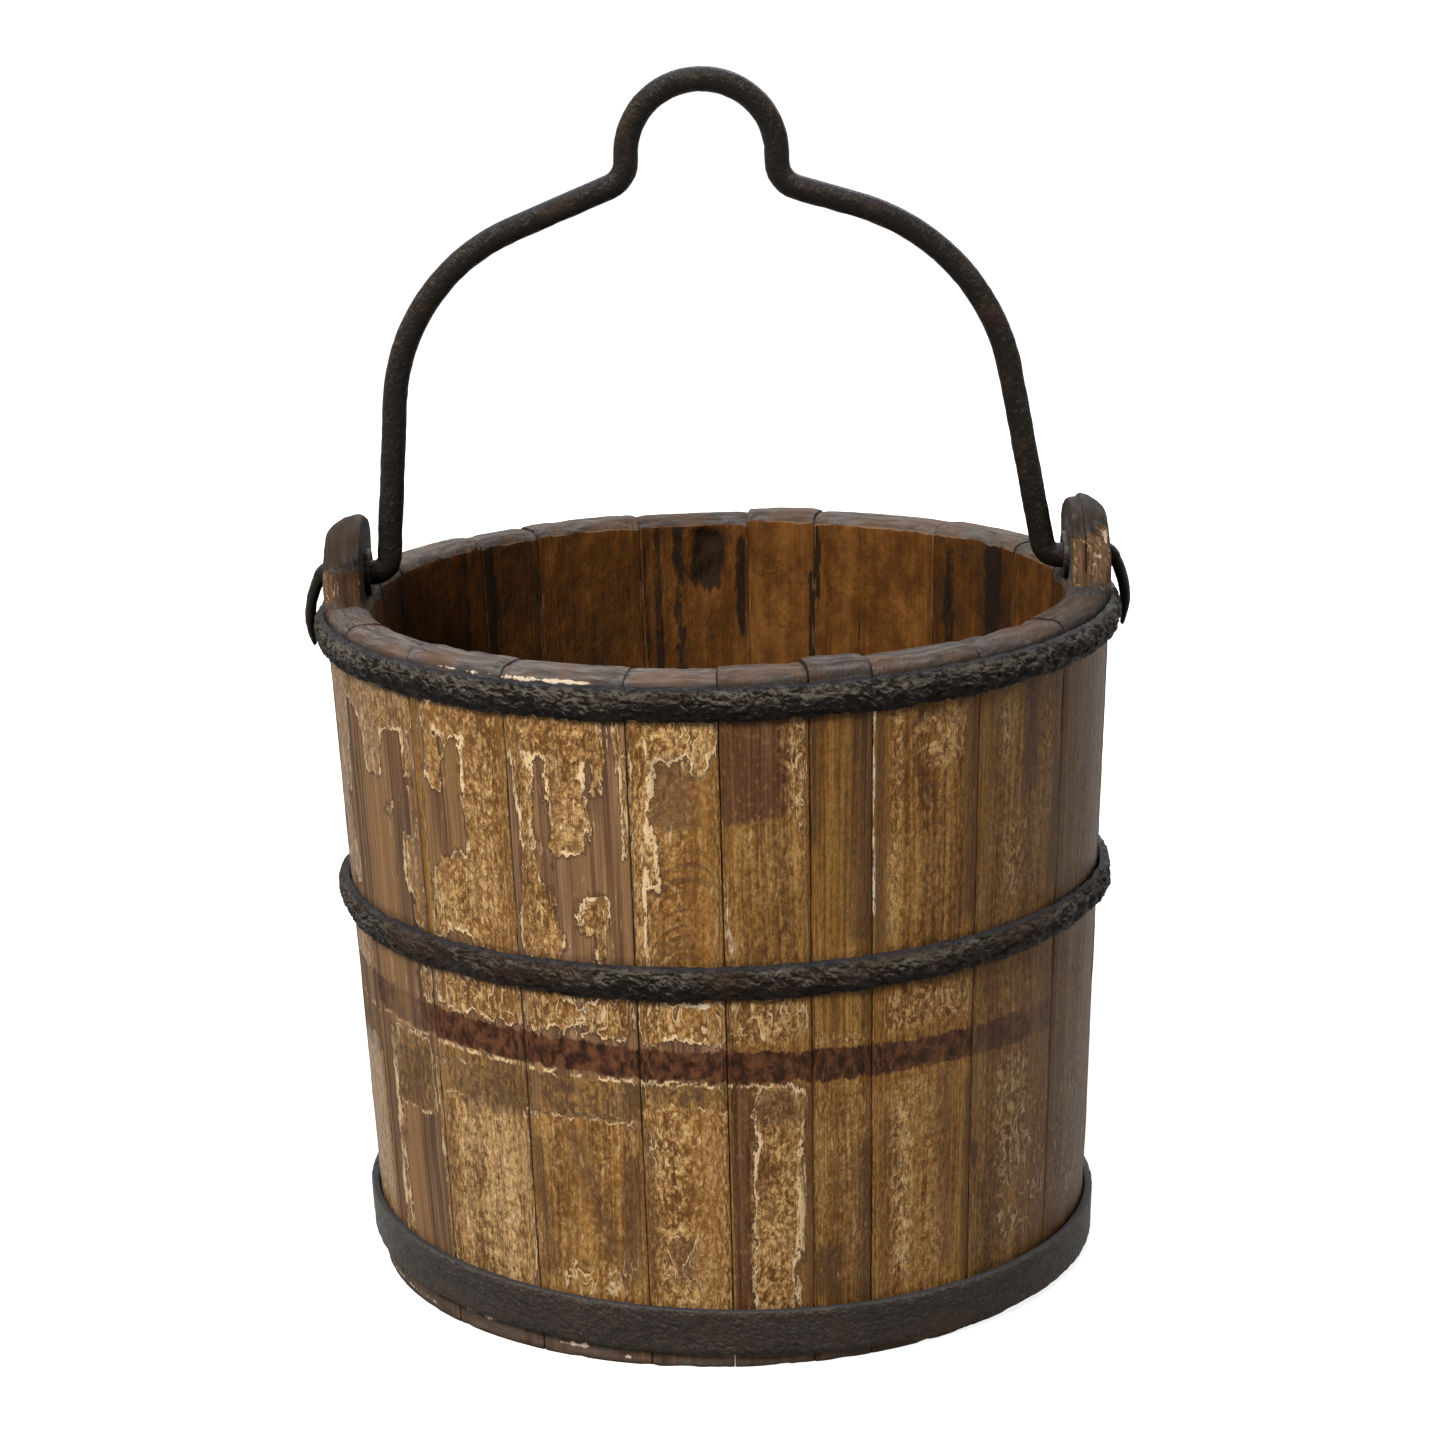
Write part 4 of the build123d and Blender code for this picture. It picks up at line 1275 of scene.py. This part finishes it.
def ear_washer(name):
    """A round washer between an ear and the bail's foot, spun about the pivot line."""
    low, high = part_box(name)
    bore = pivot.z + 5.5 * MM
    outer = pivot.z + (high.z - low.z) / 2.0
    outline = ((low.x, bore), (low.x, outer), (high.x, outer), (high.x, bore))
    bm = rounded_section(outline, 0.7 * MM, 3)
    spin_round(bm, pivot, (1.0, 0.0, 0.0), 48)
    return bm


class BUCKET_OT_staves(bpy.types.Operator):
    """Build the plain staves"""

    bl_idname = "bucket.staves"
    bl_label = "Plain staves"

    def execute(self, context):
        sizes = context.scene.bucket_sizes
        material = stave_finish(context.scene.bucket_colours)
        for name in PLAIN_STAVES:
            span = stave_span(name)
            bm = stave_blank(sizes, span, sizes.rim_height, 6.0 * MM, 5.0 * MM)
            paint_stave(bm, sizes, name, span, sizes.rim_height)
            wear_stave(bm, sizes, name, span, sizes.rim_height)
            if name == KNOT_STAVE:
                sink_knot(bm, sizes, span)
            finish_mesh(bm, f"worn_{name}", material, "bucket", "stave_wood", name)
        return {"FINISHED"}


class BUCKET_OT_ear_staves(bpy.types.Operator):
    """Build the two taller staves with the bail's holes"""

    bl_idname = "bucket.ear_staves"
    bl_label = "Ear staves"

    def execute(self, context):
        sizes = context.scene.bucket_sizes
        material = bpy.data.materials["flaked_varnish_wood"]
        for name, side in EAR_STAVES.items():
            span = stave_span(name)
            bm = stave_blank(sizes, span, sizes.ear_top, 13.5 * MM, 2.5 * MM)
            paint_stave(bm, sizes, name, span, sizes.ear_top)
            wear_stave(bm, sizes, name, span, sizes.ear_top)
            arch_ear(bm, sizes, side)
            paint_ear(bm, sizes, side)
            if side > 0:
                split_ear(bm, sizes)
            bore_ear(bm, sizes)
            finish_mesh(bm, f"worn_{name}", material, "bucket", "stave_wood", name)
        return {"FINISHED"}


class BUCKET_OT_hoops(bpy.types.Operator):
    """Build the three hoops"""

    bl_idname = "bucket.hoops"
    bl_label = "Hoops"

    def execute(self, context):
        sizes, colours = context.scene.bucket_sizes, context.scene.bucket_colours
        for name, rust_share in (("hoop_top", 0.36), ("hoop_middle", 0.52)):
            material = iron_finish(colours, f"pitted_{name}_iron", rust_share, 4.0 * MM, 0.65)
            bm = round_hoop(sizes, name)
            if name == "hoop_middle":
                lap_hoop(bm, math.radians(-16.0), math.radians(7.0), 1.2 * MM)
            hammer(bm, sizes.hammer, hoop=True)
            seat_hoop(bm, sizes)
            finish_mesh(bm, f"forged_{name}", material, "bucket", "hoop_iron", name)
        material = iron_finish(colours, "smooth_band_iron", 0.4, 1.2 * MM, 0.15)
        bm = band_hoop(sizes)
        hammer(bm, sizes.hammer, 0.2, hoop=True)
        seat_hoop(bm, sizes)
        finish_mesh(bm, "forged_hoop_bottom", material, "bucket", "hoop_iron", "hoop_bottom")
        return {"FINISHED"}


class BUCKET_OT_bail(bpy.types.Operator):
    """Build the swing bail"""

    bl_idname = "bucket.bail"
    bl_label = "Bail"

    def execute(self, context):
        sizes = context.scene.bucket_sizes
        material = iron_finish(context.scene.bucket_colours, "brown_bail_iron", 0.36, 1.0 * MM, 0.25)
        bm = bail_rod(sizes)
        hammer(bm, 0.6 * sizes.hammer, 0.3)
        ridge_and_painted_shading = bm.verts.layers.float["ridge_and_painted_shading"]
        for vertex in bm.verts:
            vertex[ridge_and_painted_shading] -= 0.75 + 3.0 * smooth(156.0, 160.0, abs(vertex.co.x) / MM)
        finish_mesh(bm, "forged_bail", material, "bail", "bail_iron", "bail")
        return {"FINISHED"}


class BUCKET_OT_washers(bpy.types.Operator):
    """Build the washers on the ears"""

    bl_idname = "bucket.washers"
    bl_label = "Washers"

    def execute(self, context):
        sizes = context.scene.bucket_sizes
        material = bpy.data.materials["brown_bail_iron"]
        for name in WASHERS:
            bm = ear_washer(name)
            hammer(bm, 0.1 * sizes.hammer, 0.5)
            finish_mesh(bm, f"forged_{name}", material, "bucket", "bail_iron", name)
        return {"FINISHED"}


class BUCKET_OT_bottom(bpy.types.Operator):
    """Finish the bottom boards, and the pins and dowels that no one sees"""

    bl_idname = "bucket.bottom"
    bl_label = "Bottom and pins"

    def execute(self, context):
        colours = context.scene.bucket_colours
        for material, names in ((board_finish(colours), BOARDS), (pin_finish(colours), HIDDEN_WOOD)):
            for name in names:
                frame["nodes"][name].data.materials.clear()
                frame["nodes"][name].data.materials.append(material)
        return {"FINISHED"}


def white_surface(name):
    """A pale floor that the camera sees as white, with the bucket's shadow on it."""
    finish = Finish(name)
    finish.tree.nodes.remove(finish.shader)
    distance = finish.node("VectorMath", {0: finish.object_place()}, operation="LENGTH").outputs["Value"]
    far = {"Value": distance, "From Min": 0.3, "From Max": 3.0, "To Min": 0.86, "To Max": 1.0}
    own_light = finish.node("MapRange", far).outputs["Result"]
    plain = finish.node("BsdfDiffuse", {"Color": (0.50, 0.50, 0.50)}).outputs[0]
    glow = finish.node("Emission", {"Color": (1.0, 1.0, 1.0), "Strength": own_light}).outputs[0]
    bright = finish.node("AddShader", {0: plain, 1: glow}).outputs[0]
    shown = finish.node("MixShader", {0: finish.seen(), 1: plain, 2: bright}).outputs[0]
    finish.feed(finish.tree.nodes["Material Output"].inputs["Surface"], shown)
    return finish.material


def white_world(room):
    """Soft light from all round, and white where the camera looks past the floor."""
    world = bpy.data.worlds.new("white_room")
    world.use_nodes = True
    nodes = Nodes(world.node_tree)
    strength = nodes.node("MapRange", {"Value": nodes.seen(), "To Min": room, "To Max": 1.0})
    background = nodes.tree.nodes["Background"]
    nodes.feed(background.inputs["Color"], (1.0, 1.0, 1.0))
    nodes.feed(background.inputs["Strength"], strength.outputs["Result"])
    bpy.context.scene.world = world


def area_lamp(name, power, size, place, target):
    """A soft square lamp that shines at a point."""
    lamp = bpy.data.lights.new(name, "AREA")
    lamp.energy = power
    lamp.size = size
    holder = bpy.data.objects.new(name, lamp)
    holder.location = place
    holder.rotation_euler = (Vector(target) - Vector(place)).to_track_quat("-Z", "Y").to_euler()
    bpy.context.scene.collection.objects.link(holder)


class BUCKET_OT_stage(bpy.types.Operator):
    """Set the floor, the lamps and the camera"""

    bl_idname = "bucket.stage"
    bl_label = "Stage"

    def execute(self, context):
        stage = context.scene.bucket_stage
        bm = bmesh.new()
        bmesh.ops.create_grid(bm, x_segments=2, y_segments=2, size=30.0)
        bmesh.ops.translate(bm, vec=(0.0, 0.0, -0.2 * MM), verts=bm.verts)
        mesh = bpy.data.meshes.new("floor")
        bm.to_mesh(mesh)
        bm.free()
        mesh.materials.append(white_surface("white_floor"))
        floor = bpy.data.objects.new("floor", mesh)
        context.scene.collection.objects.link(floor)
        white_world(stage.room)
        middle = (0.0, 0.0, 0.2)
        area_lamp("key_lamp", stage.key_power, 0.8, (-0.85, -1.75, 1.8), middle)
        area_lamp("top_lamp", stage.top_power, 1.0, (-0.1, -0.5, 2.3), middle)
        area_lamp("back_lamp", stage.back_power, 1.2, (0.35, 1.9, 1.3), middle)
        camera = bpy.data.objects.new("camera", bpy.data.cameras.new("camera"))
        camera.data.sensor_width = 36.0
        camera.data.lens = stage.lens
        yaw = Matrix.Rotation(stage.camera_yaw, 4, "Z")
        aim = Matrix.Rotation(math.pi / 2.0 - stage.camera_pitch, 4, "X")
        roll = Matrix.Rotation(stage.camera_roll, 4, "Z")
        camera.matrix_world = Matrix.Translation(stage.camera_place) @ yaw @ aim @ roll
        context.scene.collection.objects.link(camera)
        context.scene.camera = camera
        context.scene.view_settings.view_transform = "Standard"
        return {"FINISHED"}


OPERATORS = (
    BUCKET_OT_staves,
    BUCKET_OT_ear_staves,
    BUCKET_OT_hoops,
    BUCKET_OT_bail,
    BUCKET_OT_washers,
    BUCKET_OT_bottom,
    BUCKET_OT_stage,
)


GROUPS = {"bucket_sizes": BucketSizes, "bucket_colours": BucketColours, "bucket_stage": StageSettings}


class VIEW3D_PT_bucket(bpy.types.Panel):
    """The bucket's sizes, colours and pieces"""

    bl_idname = "VIEW3D_PT_bucket"
    bl_label = "Well bucket"
    bl_space_type = "VIEW_3D"
    bl_region_type = "UI"
    bl_category = "Bucket"

    def draw(self, context):
        for name, group in GROUPS.items():
            box = self.layout.box()
            for key in group.__annotations__:
                box.prop(getattr(context.scene, name), key)
        for operator in OPERATORS:
            self.layout.operator(operator.bl_idname)


CLASSES = (*GROUPS.values(), *OPERATORS, VIEW3D_PT_bucket)


def register():
    for item in CLASSES:
        bpy.utils.register_class(item)
    for name, group in GROUPS.items():
        setattr(bpy.types.Scene, name, PointerProperty(type=group))


def unregister():
    for name in GROUPS:
        delattr(bpy.types.Scene, name)
    for item in reversed(CLASSES):
        bpy.utils.unregister_class(item)


def main():
    """Build the bucket and its stage."""
    register()
    bpy.ops.bucket.staves()
    bpy.ops.bucket.ear_staves()
    bpy.ops.bucket.hoops()
    bpy.ops.bucket.bail()
    bpy.ops.bucket.washers()
    bpy.ops.bucket.bottom()
    bpy.ops.bucket.stage()


if __name__ == "__main__":
    main()
